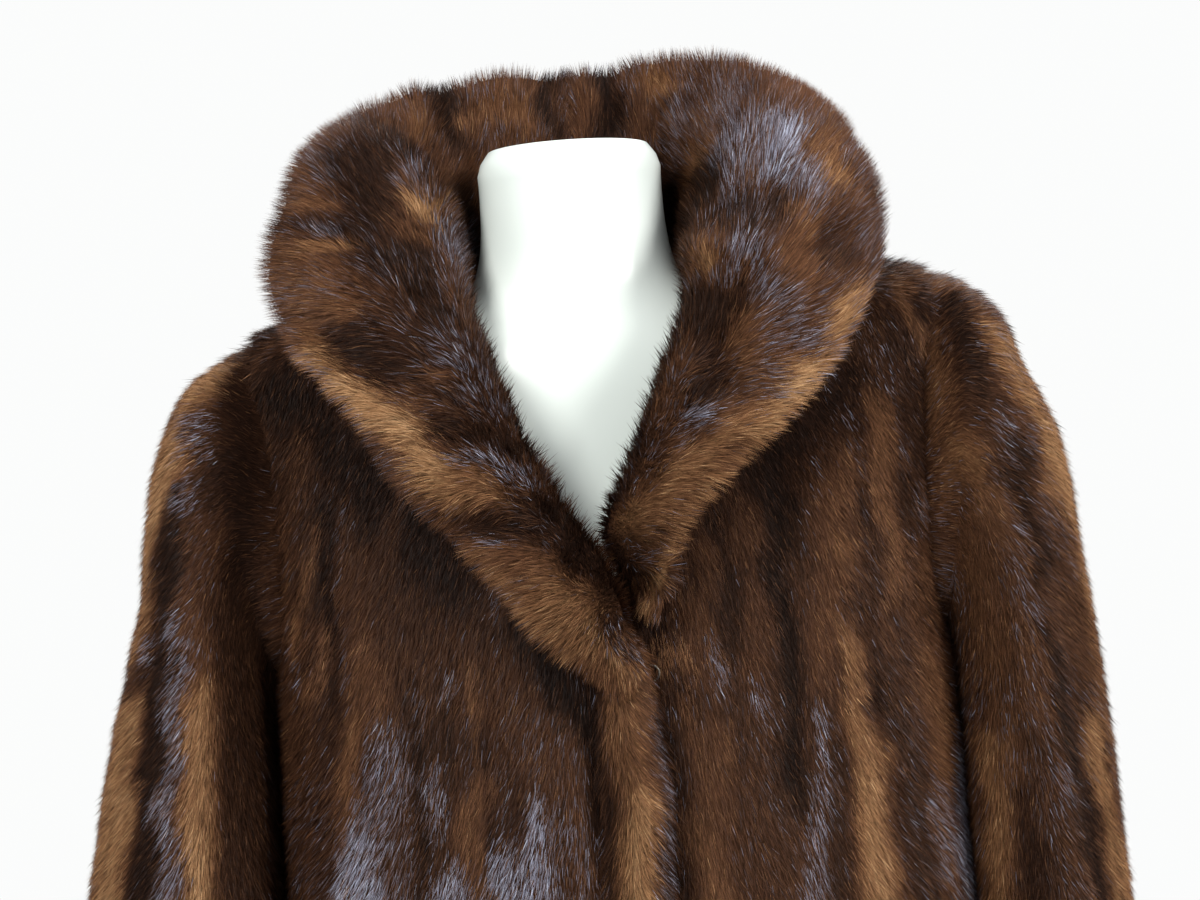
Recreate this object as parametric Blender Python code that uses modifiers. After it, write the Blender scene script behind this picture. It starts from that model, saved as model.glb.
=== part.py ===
"""Fur coat with a wide shawl collar, closed by a fur hook, on a limbless dress form.

Metres, +Z up. The coat's front faces -Y and the wearer's left side is at +X.
The origin is on the floor, under the middle of the form's foot.
"""

import math

import bmesh
import bpy
import numpy as np
from mathutils import Vector

# ---------------------------------------------------------------- sizes
SEAM = 0.0003            # clearance on each side of a seam
WALL = 0.003             # body and sleeve wall: skin, interlining and lining
COLLAR_WALL = 0.004      # two skins, back to back
COLLAR_CLEAR = 0.0012    # clearance between the collar and the panels under it
STRIP = 0.003            # width of the strip beside a seam
LINE_COLUMNS = 5         # columns of a panel along the shoulder seam
HEM_Z = 0.375            # height of the hem
CUFF_Z = 0.80            # height of the cuffs
UNDERARM_Z = 1.19        # height of the underarm points
RIDGE_Z = 1.440          # shoulder line, carried to the middle
RIDGE_SLOPE = 0.235      # fall of the shoulder line for each metre outward
RIDGE_TILT = 0.040       # the wearer's left shoulder sits a little higher
CENTRE_X = 0.006         # the body hangs slightly to the wearer's left
FRONT_TURN_Z = 1.24      # above this the front curves back to the shoulder line
BACK_TURN_Z = 1.28       # above this the back curves forward
TURN_POWER = 2.2
LEFT_EDGE_X = -0.030     # edge of the left front, under the lap
RIGHT_EDGE_X = 0.008     # edge of the right front, over the lap
LAP_LIFT = 0.014         # how far the right front stands off the left one
LAP_START_X = -0.085     # where that lift begins

# Body rings: half width, depth in front and depth behind, and how far the side
# seams lie behind the middle, by height. round is 1 for an ellipse, less for a
# ring with fuller corners.
BODY = dict(
    z=     (0.375, 0.48, 0.60, 0.72, 0.80, 0.87, 0.95, 1.04, 1.10, 1.19, 1.24, 1.30, 1.36, 1.45),
    half=  (0.322, 0.294, 0.264, 0.241, 0.229, 0.2195, 0.2105, 0.2035, 0.2010, 0.1990, 0.200, 0.206, 0.213, 0.214),
    front= (0.206, 0.194, 0.178, 0.163, 0.153, 0.145, 0.138, 0.131, 0.127, 0.124, 0.120, 0.115, 0.110, 0.106),
    back=  (0.206, 0.190, 0.171, 0.154, 0.145, 0.138, 0.132, 0.127, 0.125, 0.124, 0.124, 0.124, 0.124, 0.124),
    side_y=(0.000, 0.006, 0.012, 0.017, 0.019, 0.020, 0.020, 0.017, 0.012, 0.002, 0.0, 0.0, 0.0, 0.0),
    round= (0.85, 0.82, 0.78, 0.74, 0.71, 0.69, 0.67, 0.66, 0.66, 0.70, 0.76, 0.83, 0.85, 0.85),
)

# Armhole edge of each panel, from the shoulder point down to the underarm:
# angle round the body (degrees from the middle of its panel) and height.
ARMHOLE = dict(
    step=       (0.0, 0.02, 0.10, 0.25, 0.45, 0.65, 0.82, 0.92, 1.0),
    front_angle=(68.5, 68.4, 68.2, 67.8, 68.0, 69.5, 73.0, 79.0, 90.0),
    back_angle= (68.5, 68.6, 69.2, 70.0, 70.5, 71.5, 74.5, 80.0, 90.0),
    drop=       (0.0, 0.0004, 0.010, 0.042, 0.093, 0.145, 0.182, 0.196, 0.202),
)
ARMHOLE_STEPS = (0.0, 0.012, 0.09, 0.19, 0.30, 0.42, 0.54, 0.66, 0.77, 0.86, 0.94, 1.0)

# Neck edge of each front panel, from the foot of the V to the side of the neck,
# where it is given by y in place of z, and of half the back.
V_LEFT = dict(
    x=(LEFT_EDGE_X, -0.014, 0.004, 0.022, 0.040, 0.055, 0.066, 0.073, 0.078, 0.079),
    z=(1.170, 1.200, 1.231, 1.262, 1.295, 1.328, 1.360, None, None, None),
    y=(None, None, None, None, None, None, None, -0.064, -0.032, 0.0),
)
V_RIGHT = dict(
    x=(RIGHT_EDGE_X, -0.001, -0.011, -0.026, -0.042, -0.055, -0.066, -0.073, -0.078, -0.079),
    z=(1.202, 1.224, 1.248, 1.276, 1.305, 1.332, 1.360, None, None, None),
    y=(None, None, None, None, None, None, None, -0.064, -0.032, 0.0),
)
NECK_BACK = dict(
    x=(0.0, 0.030, 0.055, 0.072, 0.079),
    z=(None, None, None, None, None),
    y=(0.072, 0.067, 0.051, 0.029, 0.0),
)

# Soft folds of the body: angle from the middle of the front at the chest and at
# the hem (degrees, + to the wearer's left), half width, height at the hem (mm),
# height at the chest (mm), and where it starts.
FOLDS = dict(
    chest=(-76, -58, -38, -20, 24, 41, 58, 77, 104, 128, 154, 178, 203, 228, 254),
    hem=  (-78, -57, -36, -15, 19, 40, 61, 80, 103, 129, 153, 180, 205, 229, 256),
    wide= (6.5, 6.0, 6.5, 6.0, 6.0, 6.0, 6.5, 6.5, 7.0, 7.5, 7.0, 8.0, 7.0, 7.5, 7.0),
    low=  (13, 16, 12, 8, 10, 15, 12, 14, 14, 17, 13, 18, 14, 16, 13),
    high= (1.0, 2.5, 2.0, 1.2, 1.5, 3.5, 3.0, 1.5, 1.5, 2.5, 2.0, 2.0, 2.0, 2.5, 1.5),
    top=  (1.22, 1.34, 1.30, 1.16, 1.18, 1.36, 1.36, 1.24, 1.28, 1.34, 1.34, 1.32, 1.34, 1.32, 1.26),
)

# Sleeves, shoulder to cuff: outer and inner line as seen from the front, half
# depth and the y of the middle. x is the distance from the centre plane.
SLEEVE_LEFT = dict(
    out_x=(0.2270, 0.2445, 0.2560, 0.2700, 0.2800, 0.2880, 0.2935, 0.2975, 0.3010, 0.3090, 0.3190, 0.3270),
    out_z=(1.399, 1.380, 1.350, 1.318, 1.279, 1.232, 1.178, 1.110, 1.030, 0.955, 0.875, CUFF_Z),
    in_x= (0.2060, 0.2095, 0.2110, 0.2120, 0.2130, 0.2135, 0.2140, 0.2145, 0.2160, 0.2235, 0.2340, 0.2430),
    in_z= (1.1915, 1.187, 1.178, 1.166, 1.150, 1.130, 1.105, 1.065, 1.010, 0.948, 0.872, CUFF_Z),
    deep= (0.062, 0.067, 0.071, 0.074, 0.076, 0.077, 0.077, 0.076, 0.074, 0.071, 0.067, 0.064),
    mid_y=(0.000, -0.003, -0.006, -0.009, -0.012, -0.014, -0.016, -0.018, -0.021, -0.025, -0.031, -0.036),
)
SLEEVE_RIGHT = dict(
    out_x=(0.2180, 0.2390, 0.2525, 0.2610, 0.2695, 0.2790, 0.2880, 0.3015, 0.3170, 0.3270, 0.3340, 0.3380),
    out_z=(1.380, 1.356, 1.324, 1.288, 1.250, 1.215, 1.180, 1.122, 1.040, 0.960, 0.875, CUFF_Z),
    in_x= (0.1945, 0.1980, 0.1995, 0.2005, 0.2010, 0.2015, 0.2015, 0.2020, 0.2035, 0.2110, 0.2240, 0.2330),
    in_z= (1.1915, 1.187, 1.178, 1.166, 1.150, 1.132, 1.110, 1.070, 1.012, 0.948, 0.872, CUFF_Z),
    deep= (0.062, 0.067, 0.071, 0.074, 0.077, 0.078, 0.078, 0.078, 0.077, 0.074, 0.069, 0.065),
    mid_y=(0.000, -0.003, -0.006, -0.009, -0.012, -0.014, -0.016, -0.018, -0.021, -0.025, -0.031, -0.036),
)
# Lengthwise troughs of the sleeves: angle round the sleeve (degrees from its
# outer line towards the front), half width and depth in mm.
SLEEVE_TROUGHS = dict(angle=(52, 118, 205, 290), wide=(13, 15, 17, 16), deep=(5.0, 3.0, 3.5, 4.0))

# Shawl collar, middle of the back to the foot of the V. Each row is one
# section, as a curve from its seam on the neck line (-1 in the middle of the
# back, 0 at the shoulder seam, 1 at the foot of the V) over lift and crown
# (x, y, z) to its free edge.
COLLAR_LEFT = dict(
    seam= (-1.0, -0.66, -0.34, -0.10, 0.10, 0.22, 0.33, 0.43, 0.53, 0.62, 0.68, 0.72),
    lift= ((0.000, 0.073, 1.470), (0.036, 0.065, 1.473), (0.061, 0.042, 1.478), (0.068, 0.016, 1.484), (0.061, -0.014, 1.484),
           (0.053, -0.044, 1.462), (0.047, -0.084, 1.422), (0.033, -0.119, 1.372), (0.014, -0.140, 1.322), (0.003, -0.146, 1.290), (0.013, -0.141, 1.255), (0.0270, -0.1350, 1.222)),
    crown=((0.000, 0.095, 1.520), (0.052, 0.088, 1.526), (0.088, 0.066, 1.538), (0.116, 0.034, 1.560), (0.130, -0.008, 1.566),
           (0.139, -0.056, 1.520), (0.122, -0.112, 1.462), (0.086, -0.148, 1.396), (0.052, -0.165, 1.342), (0.030, -0.166, 1.296), (0.034, -0.150, 1.252), (0.0345, -0.1385, 1.219)),
    edge= ((0.000, 0.128, 1.562), (0.062, 0.120, 1.564), (0.116, 0.094, 1.553), (0.157, 0.056, 1.518), (0.183, 0.018, 1.468),
           (0.190, -0.026, 1.410), (0.166, -0.068, 1.366), (0.132, -0.098, 1.334), (0.095, -0.119, 1.306), (0.060, -0.132, 1.277), (0.0455, -0.1325, 1.246), (0.0385, -0.1310, 1.218)),
)
# The right half goes on as the band round the right front's edge.
COLLAR_RIGHT = dict(
    seam= (-1.0, -0.66, -0.34, -0.10, 0.10, 0.22, 0.34, 0.46, 0.58, 0.72, 0.86, 1.0),
    lift= ((0.000, 0.073, 1.470), (0.036, 0.065, 1.471), (0.061, 0.042, 1.474), (0.068, 0.016, 1.478), (0.061, -0.014, 1.478),
           (0.053, -0.044, 1.458), (0.048, -0.084, 1.420), (0.037, -0.120, 1.374), (0.021, -0.144, 1.326), (0.000, -0.162, 1.282), (-0.018, -0.163, 1.238), (-0.036, -0.1400, 1.202)),
    crown=((0.000, 0.095, 1.520), (0.052, 0.088, 1.523), (0.088, 0.066, 1.534), (0.116, 0.034, 1.556), (0.130, -0.008, 1.560),
           (0.139, -0.056, 1.512), (0.124, -0.112, 1.456), (0.094, -0.150, 1.392), (0.070, -0.172, 1.334), (0.042, -0.186, 1.280), (0.012, -0.186, 1.234), (-0.024, -0.1680, 1.196)),
    edge= ((0.000, 0.128, 1.562), (0.062, 0.120, 1.562), (0.116, 0.094, 1.549), (0.157, 0.056, 1.514), (0.181, 0.018, 1.468),
           (0.188, -0.026, 1.412), (0.164, -0.068, 1.366), (0.124, -0.104, 1.333), (0.096, -0.126, 1.293), (0.054, -0.142, 1.250), (0.024, -0.1500, 1.210), (0.0050, -0.1490, 1.172)),
)
# Band round the right front's edge, collar to hem: where its two sides end (x),
# how far it reaches past the edge of the panel, and how far it stands out there.
BAND = dict(
    z=    (1.198, 1.160, 1.120, 1.080, 0.900, 0.650, HEM_Z),
    under=(-0.010, -0.009, -0.008, -0.008, -0.008, -0.008, -0.008),
    over= (-0.012, -0.010, -0.008, -0.008, -0.008, -0.008, -0.008),
    reach=(0.0195, 0.0230, 0.0255, 0.0235, 0.0225, 0.0240, 0.0260),
    stand=(0.007, 0.007, 0.007, 0.007, 0.007, 0.008, 0.009),
)
BAND_TURN = 0.012        # radius of its turn, in x
BAND_SLANT = 0.66        # slope of its upper end, cut like the collar's end

# Dress form, floor side up: half width, depth in front and behind.
FORM = dict(
    z=    (0.760, 0.775, 0.84, 0.92, 1.00, 1.08, 1.14, 1.20, 1.26, 1.305, 1.335, 1.355, 1.370, 1.382, 1.392, 1.402, 1.414, 1.430, 1.450, 1.475, 1.492, 1.500),
    half= (0.150, 0.160, 0.166, 0.148, 0.122, 0.132, 0.146, 0.156, 0.165, 0.168, 0.163, 0.152, 0.136, 0.115, 0.094, 0.079, 0.067, 0.060, 0.0565, 0.0555, 0.0545, 0.0490),
    front=(0.088, 0.096, 0.100, 0.088, 0.076, 0.094, 0.106, 0.106, 0.096, 0.087, 0.081, 0.077, 0.073, 0.069, 0.065, 0.061, 0.058, 0.056, 0.0560, 0.0555, 0.0545, 0.0490),
    back= (0.096, 0.106, 0.110, 0.094, 0.078, 0.084, 0.090, 0.092, 0.090, 0.084, 0.078, 0.073, 0.069, 0.065, 0.061, 0.058, 0.056, 0.055, 0.0550, 0.0545, 0.0535, 0.0480),
)
POLE_RADIUS = 0.0125
BASE_RADIUS = 0.190
BASE_THICK = 0.012

COLOURS = dict(fur=(0.055, 0.026, 0.013), form=(0.86, 0.88, 0.85), steel=(0.60, 0.61, 0.62), hook_metal=(0.58, 0.56, 0.52))


# ---------------------------------------------------------------- curves
def smooth(knots, values, at):
    """Catmull-Rom through a table, with its own spacing, at one or more places."""
    t, p = np.asarray(knots, float), np.asarray(values, float)
    slope = np.gradient(p, t, axis=0)
    at = np.clip(np.asarray(at, float), t[0], t[-1])
    i = np.clip(np.searchsorted(t, at, side="right") - 1, 0, len(t) - 2)
    h = t[i + 1] - t[i]
    u = (at - t[i]) / h
    if p.ndim > 1:
        u, h = u[..., None], h[..., None]
    return (
        p[i] * (1 + 2 * u) * (1 - u) ** 2
        + slope[i] * h * u * (1 - u) ** 2
        + p[i + 1] * u * u * (3 - 2 * u)
        + slope[i + 1] * h * u * u * (u - 1)
    )


def ease(x):
    x = np.clip(x, 0.0, 1.0)
    return x * x * (3 - 2 * x)


def ridge(x):
    """Height of the shoulder line."""
    return RIDGE_Z - RIDGE_SLOPE * np.abs(x) + RIDGE_TILT * x


def fold_height(angle, z):
    """Height of the soft folds, in metres, at an angle from the middle of the front."""
    total = np.zeros(np.broadcast(angle, z).shape)
    for chest, hem, wide, low, high, top in zip(*FOLDS.values()):
        fall = np.clip((1.15 - z) / (1.15 - HEM_Z), 0, 1)
        middle = chest + (hem - chest) * fall
        away = (angle - middle + 180) % 360 - 180
        tall = (high + (low - high) * fall**1.3) * ease((top - z) / 0.12)
        total = total + tall * (np.exp(-((away / wide) ** 2)) - 0.025)
    return total / 1000


def turn_z(behind):
    return BACK_TURN_Z if behind else FRONT_TURN_Z


def place(x, z, behind):
    """Angle (radians) and drop of a point of the body given by x and z. The drop
    runs from -1 on the shoulder line, over 0 where the body turns, to 1 at the hem."""
    x, z = np.broadcast_arrays(np.asarray(x, float), np.asarray(z, float))
    turn = turn_z(behind)
    rise = np.clip((z - turn) / (ridge(x) - turn), 0, 1)
    angle = np.arcsin(np.clip((x - CENTRE_X) / smooth(BODY["z"], BODY["half"], z), -1, 1))
    return angle, np.where(z > turn, -np.arcsin(rise ** (TURN_POWER / 2)) / (math.pi / 2), (turn - z) / (turn - HEM_Z))


def body_point(angle, drop, behind):
    """A point of the body's outer face."""
    angle, drop = np.broadcast_arrays(np.asarray(angle, float), np.asarray(drop, float))
    turn = turn_z(behind)
    over = np.clip(-drop, 0, 1) * math.pi / 2
    sin, cos = np.sin(angle), np.cos(np.clip(angle, -math.pi / 2, math.pi / 2))
    z = turn - np.clip(drop, 0, 1) * (turn - HEM_Z)
    for _ in range(6):
        half = smooth(BODY["z"], BODY["half"], z)
        x = CENTRE_X + half * sin
        z = np.where(drop < 0, turn + (ridge(x) - turn) * np.sin(over) ** (2 / TURN_POWER), z)
    side_y = smooth(BODY["z"], BODY["side_y"], z)
    deep = smooth(BODY["z"], BODY["back" if behind else "front"], z) + (-side_y if behind else side_y)
    y = deep * np.clip(cos, 0, 1) ** smooth(BODY["z"], BODY["round"], z) * np.cos(over) ** (2 / TURN_POWER)
    degrees = np.degrees(angle)
    push = fold_height(180 - degrees if behind else degrees, z) * ease((ridge(x) - z) / 0.08)
    return np.stack([x + push * sin, side_y + (y + push * cos) * (1 if behind else -1), z], -1)


def over_body(angle, drop, behind, out):
    """A point moved out from the body's outer face."""
    step = 0.004
    across = body_point(angle + step, drop, behind) - body_point(angle - step, drop, behind)
    down = body_point(angle, drop + step, behind) - body_point(angle, np.maximum(drop - step, -1), behind)
    normal = np.cross(across, down) * (1 if behind else -1)
    normal /= np.linalg.norm(normal, axis=-1)[..., None]
    return body_point(angle, drop, behind) + normal * out


def lap(x, z):
    """How far the right front stands off the left one, towards its edge."""
    return LAP_LIFT * ease((x - LAP_START_X) / (-0.015 - LAP_START_X)) * ease((1.36 - z) / 0.10)


# ---------------------------------------------------------------- panels
def armhole(side, behind):
    """Angle and drop along an armhole edge, shoulder point to underarm."""
    top_x = CENTRE_X + side * BODY["half"][-1] * math.sin(math.radians(ARMHOLE["front_angle"][0]))
    top = ridge(top_x)
    fall = smooth(ARMHOLE["step"], ARMHOLE["drop"], ARMHOLE_STEPS)
    z = top - fall * (top - UNDERARM_Z) / ARMHOLE["drop"][-1]
    angle = np.radians(smooth(ARMHOLE["step"], ARMHOLE["back_angle" if behind else "front_angle"], ARMHOLE_STEPS)) * side
    x = CENTRE_X + smooth(BODY["z"], BODY["half"], z) * np.sin(angle)
    drop = place(x, z, behind)[1]
    drop[0] = -1.0
    return angle, drop


def neck_line(table, side, behind, at):
    """Angle and drop of points along a neck edge, at shares from its middle end to the shoulder seam."""
    sign = side if table is NECK_BACK else 1
    angles, drops = [], []
    for x, z, y in zip(table["x"], table["z"], table["y"]):
        if z is not None:
            angle, drop = place(sign * x, z, behind)
        else:
            over, turn = math.pi / 2, turn_z(behind)
            for _ in range(12):
                z = turn + (ridge(sign * x) - turn) * math.sin(over) ** (2 / TURN_POWER)
                angle = place(sign * x, z, behind)[0]
                deep = smooth(BODY["z"], BODY["back" if behind else "front"], z) * math.cos(angle) ** smooth(BODY["z"], BODY["round"], z)
                over = math.acos(min(abs(y) / deep, 1.0) ** (TURN_POWER / 2))
            drop = -over / (math.pi / 2)
        angles.append(float(angle))
        drops.append(float(drop))
    step = np.linspace(0, 1, len(angles))
    return smooth(step, angles, at), smooth(step, drops, at)


def top_edge(table, side, behind, counts):
    """Angle and drop along a panel's upper edge, from the middle out to the shoulder point."""
    neck = neck_line(table, side, behind, np.linspace(0, 1, counts[0]))
    neck[1][-1] = -1.0
    neck_x = table["x"][-1] * (side if table is NECK_BACK else 1)
    end_x = CENTRE_X + side * BODY["half"][-1] * math.sin(math.radians(ARMHOLE["front_angle"][0]))
    share = np.concatenate([np.linspace(0, 1, counts[1] + 1)[1:-1], [0.975, 1.0]])
    line_x = neck_x + (end_x - neck_x) * share
    line = place(line_x, ridge(line_x), behind)
    return np.concatenate([neck[0], line[0]]), np.concatenate([neck[1], np.full(len(share), -1.0)])


def patch(top, hem, inner, outer):
    """A grid between four edges, each given as angle and drop."""
    top, hem, inner, outer = (np.stack(e, -1) for e in (top, hem, inner, outer))
    u = np.linspace(0, 1, len(top))
    u[-2] = 0.985
    u = u[None, :, None] ** 2
    v = 1 - (1 - np.linspace(0, 1, len(outer))[:, None, None]) ** 2
    corners = (1 - v) * ((1 - u) * top[0] + u * top[-1]) + v * ((1 - u) * hem[0] + u * hem[-1])
    return (1 - v) * top[None] + v * hem[None] + (1 - u) * inner[:, None] + u * outer[:, None] - corners


def panel(side, behind, table, edge_x, counts, below):
    """Points of half a body panel's outer face, from its middle edge to its side, row by row."""
    top = top_edge(table, side, behind, counts)
    arm = armhole(side, behind)
    side_z = np.linspace(0, 1, below + 1)[1:] ** 1.1
    side_z = UNDERARM_Z + (HEM_Z - UNDERARM_Z) * side_z
    side_drop = (turn_z(behind) - side_z) / (turn_z(behind) - HEM_Z)
    outer = np.concatenate([arm[0], np.full(below, side * math.pi / 2)]), np.concatenate([arm[1], side_drop])
    count = len(outer[0])
    share = np.linspace(0, 1, count)
    inner_drop = top[1][0] + (1 - top[1][0]) * share**1.05
    inner_z = body_point(np.full(count, top[0][0]), inner_drop, behind)[:, 2]
    inner = place(np.full(count, edge_x), inner_z, behind)[0], inner_drop
    inner[0][0] = top[0][0]
    start = math.asin((edge_x - CENTRE_X) / BODY["half"][0])
    spread = np.linspace(0, 1, len(top[0]))
    spread[-2] = 0.985
    hem = start + (side * math.pi / 2 - start) * spread, np.ones(len(top[0]))
    inner[0][-1] = start
    grid = patch(top, hem, inner, outer)
    points = body_point(grid[..., 0], grid[..., 1], behind)
    if not behind and side < 0:
        points[..., 1] -= lap(points[..., 0], points[..., 2])
    return points


def sleeve_rings(side, rows):
    """Rings of a sleeve from its third row down, with the angle of each column."""
    table = SLEEVE_LEFT if side > 0 else SLEEVE_RIGHT
    half = np.asarray(ARMHOLE_STEPS) * math.pi
    half[1] = math.pi * 0.03
    turn = np.concatenate([half, 2 * math.pi - half[-2:0:-1]])
    knots = np.linspace(0, 1, len(table["out_x"]))
    at = np.linspace(0, 1, rows) ** 1.1
    column = {k: smooth(knots, v, at) for k, v in table.items()}
    cos, sin = np.cos(turn), np.sin(turn)
    cos = np.sign(cos) * np.abs(cos) ** 0.92
    rings = []
    for k in range(rows):
        out = np.array([side * column["out_x"][k], column["mid_y"][k], column["out_z"][k]])
        inn = np.array([side * column["in_x"][k], column["mid_y"][k], column["in_z"][k]])
        middle = 0.5 * (out + inn)
        deep = column["deep"][k] * np.sign(sin) * np.abs(sin) ** (0.70 + 0.22 * min(at[k] * 3, 1.0))
        ring = middle + 0.5 * (out - inn) * cos[:, None] + np.array([0, -1, 0]) * deep[:, None]
        trough = np.zeros_like(turn)
        for angle, wide, deep in zip(*SLEEVE_TROUGHS.values()):
            away = (np.degrees(turn) - angle + 180) % 360 - 180
            trough += deep * np.exp(-((away / wide) ** 2))
        inward = middle - ring
        inward /= np.linalg.norm(inward, axis=1)[:, None]
        rings.append(ring + inward * (trough * 0.001 * ease((at[k] - 0.05) / 0.35))[:, None])
    return np.array(rings)


def unit(v):
    return v / np.linalg.norm(v, axis=-1)[..., None]


def stitch(front, back, rings):
    """Join the halves of a side at the shoulder, armhole and side seams, each a
    little apart, with a narrow strip beside the seam that lies the same way on
    both sides of it. Returns the whole sleeve."""
    arm = len(ARMHOLE_STEPS)
    strip, aft = STRIP, np.array([0.0, 1.0, 0.0])
    seam = np.concatenate([front[:arm, -1], back[arm - 2 : 0 : -1, -1]])
    within = np.concatenate([front[:arm, -3], back[arm - 2 : 0 : -1, -3]])
    within[0] = 0.5 * (front[0, -3] + back[0, -3])
    within[arm - 1] = 0.5 * (front[arm - 1, -3] + back[arm - 1, -3]) - np.array([0, 0, 0.02])
    onward, inward = unit(rings[0] - seam), unit(seam - within)
    steps = np.concatenate([ARMHOLE_STEPS, ARMHOLE_STEPS[-2:0:-1]])
    level = ease((0.32 - steps) / 0.2)[:, None]
    both = unit(onward + inward)
    onward, inward = unit(onward + (both - onward) * level), unit(inward + (both - inward) * level)
    first, second = seam + onward * SEAM, seam + onward * (SEAM + strip)
    for points, order, sense in ((front, list(range(arm)), -1.0), (back, [0] + list(range(len(seam) - 1, arm - 2, -1)), 1.0)):
        pull = inward[order]
        for c in range(points.shape[1] - LINE_COLUMNS - 1, points.shape[1]):
            points[0, c] += sense * aft * SEAM * (4 if c == points.shape[1] - LINE_COLUMNS - 1 else 1)
            points[1, c] = points[0, c] + sense * aft * strip + np.array([0, 0, -0.0001])
        base = points[:arm, -1].copy()
        points[:arm, -1] = base - pull * SEAM
        points[:arm, -2] = base - pull * (SEAM + strip)
        points[1, -1] = points[0, -1] + sense * aft * strip
        points[1, -2] = points[0, -2] + sense * aft * strip
        points[arm - 1 :, -1] += sense * aft * SEAM
        points[arm - 1, -1] += sense * aft * SEAM * 3
        points[arm - 1 :, -2] = points[arm - 1 :, -1] + sense * aft * strip
        points[arm - 1, -2] -= pull[-1] * strip * 0.5
    return np.concatenate([[first, second], rings])


def collar(side, first, last, rows, across):
    """Grid of a collar half: sections from the middle of the back forward."""
    table = COLLAR_LEFT if side > 0 else COLLAR_RIGHT
    seam = []
    for share in table["seam"]:
        behind = share < 0
        angle, drop = neck_line(NECK_BACK if behind else (V_LEFT if side > 0 else V_RIGHT), side, behind, 1 - abs(share))
        point = over_body(angle, drop, behind, COLLAR_WALL / 2 + COLLAR_CLEAR)
        if side < 0 and not behind:
            point = point - np.array([0, lap(point[0], point[2]), 0])
        seam.append(point * (side, 1, 1))
    knots = np.arange(len(seam))
    at = np.linspace(first, last, rows)
    points = [smooth(knots, v, at) for v in (seam, table["lift"], table["crown"], table["edge"])]
    t = np.linspace(0, 1, across)[None, :, None]
    a, b, c, d = (p[:, None] for p in points)
    grid = a * (1 - t) ** 3 + 3 * b * t * (1 - t) ** 2 + 3 * c * t * t * (1 - t) + d * t**3
    return grid * (side, 1, 1)


def band(rows, across):
    """Grid of the band: sections that turn round the right front's edge."""
    low = np.linspace(0, 1, rows) ** 1.15
    z = BAND["z"][0] + (HEM_Z - BAND["z"][0]) * low
    under, over, reach, stand = (smooth(BAND["z"][::-1], BAND[k][::-1], z) for k in ("under", "over", "reach", "stand"))
    clear = COLLAR_WALL / 2 + 0.0008
    turn = np.linspace(-math.pi / 2, math.pi / 2, across - 4)
    rings = []
    for k, height in enumerate(z):
        face = []
        for x in (over[k], under[k]):
            angle, drop = place(x, height, False)
            face.append(body_point(angle, drop, False)[1] - lap(x, height))
        front, back = face[0] - clear - 0.001, face[1] + WALL + clear
        mid_x, mid_y = reach[k] - BAND_TURN, 0.5 * (front + back)
        arc = [(mid_x + BAND_TURN * math.cos(a), mid_y - (0.5 * (back - front) + stand[k] * ease((a + 0.6) / 1.6)) * math.sin(a), 0.0) for a in turn]
        line = [(under[k], back, 0.0), (0.5 * (under[k] + mid_x), back, 0.0)] + arc + [(0.5 * (over[k] + mid_x), front - stand[k] * 0.8, 0.0), (over[k], front, 0.0)]
        ring = np.array(line)
        slant = np.where(np.arange(across) > across // 2, BAND_SLANT * (reach[k] - ring[:, 0]), 0.0)
        ring[:, 2] = height - slant * (1 - low[k]) ** 3
        rings.append(ring)
    return np.array(rings)


# ---------------------------------------------------------------- objects
def clear_scene():
    for old in list(bpy.data.objects):
        bpy.data.objects.remove(old)


def material(name, colour, roughness, metallic=0.0):
    mat = bpy.data.materials.new(name)
    mat.use_nodes = True
    shader = mat.node_tree.nodes["Principled BSDF"]
    shader.inputs["Base Color"].default_value = (*colour, 1)
    shader.inputs["Roughness"].default_value = roughness
    shader.inputs["Metallic"].default_value = metallic
    mat.diffuse_color = (*colour, 1)
    return mat


def add(collection, ob, mat):
    ob.data.materials.append(mat)
    for other in ob.users_collection:
        other.objects.unlink(ob)
    collection.objects.link(ob)
    return ob


def loft(name, grid, closed, flip):
    """A mesh through rows of points. closed joins the last column to the first."""
    rows, cols = grid.shape[:2]
    mesh = bpy.data.meshes.new(name)
    bm = bmesh.new()
    verts = [[bm.verts.new(p) for p in row] for row in grid.tolist()]
    for i in range(rows - 1):
        for j in range(cols if closed else cols - 1):
            k = (j + 1) % cols
            face = [verts[i][j], verts[i + 1][j], verts[i + 1][k], verts[i][k]]
            bm.faces.new(face[::-1] if flip else face)
    bm.to_mesh(mesh)
    bm.free()
    return bpy.data.objects.new(name, mesh)


def cloth(collection, name, grid, mat, wall=WALL, closed=False, flip=False, offset=-1.0):
    """An open surface, thickened with Solidify: inward on the body, both ways on the collar."""
    ob = loft(name, grid, closed, flip)
    solid = ob.modifiers.new("wall", "SOLIDIFY")
    solid.thickness = wall
    solid.offset = offset
    solid.use_even_offset = False
    solid.use_quality_normals = True
    ob.data.shade_smooth()
    ob.data.set_sharp_from_angle(angle=math.radians(50))
    return add(collection, ob, mat)


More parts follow.
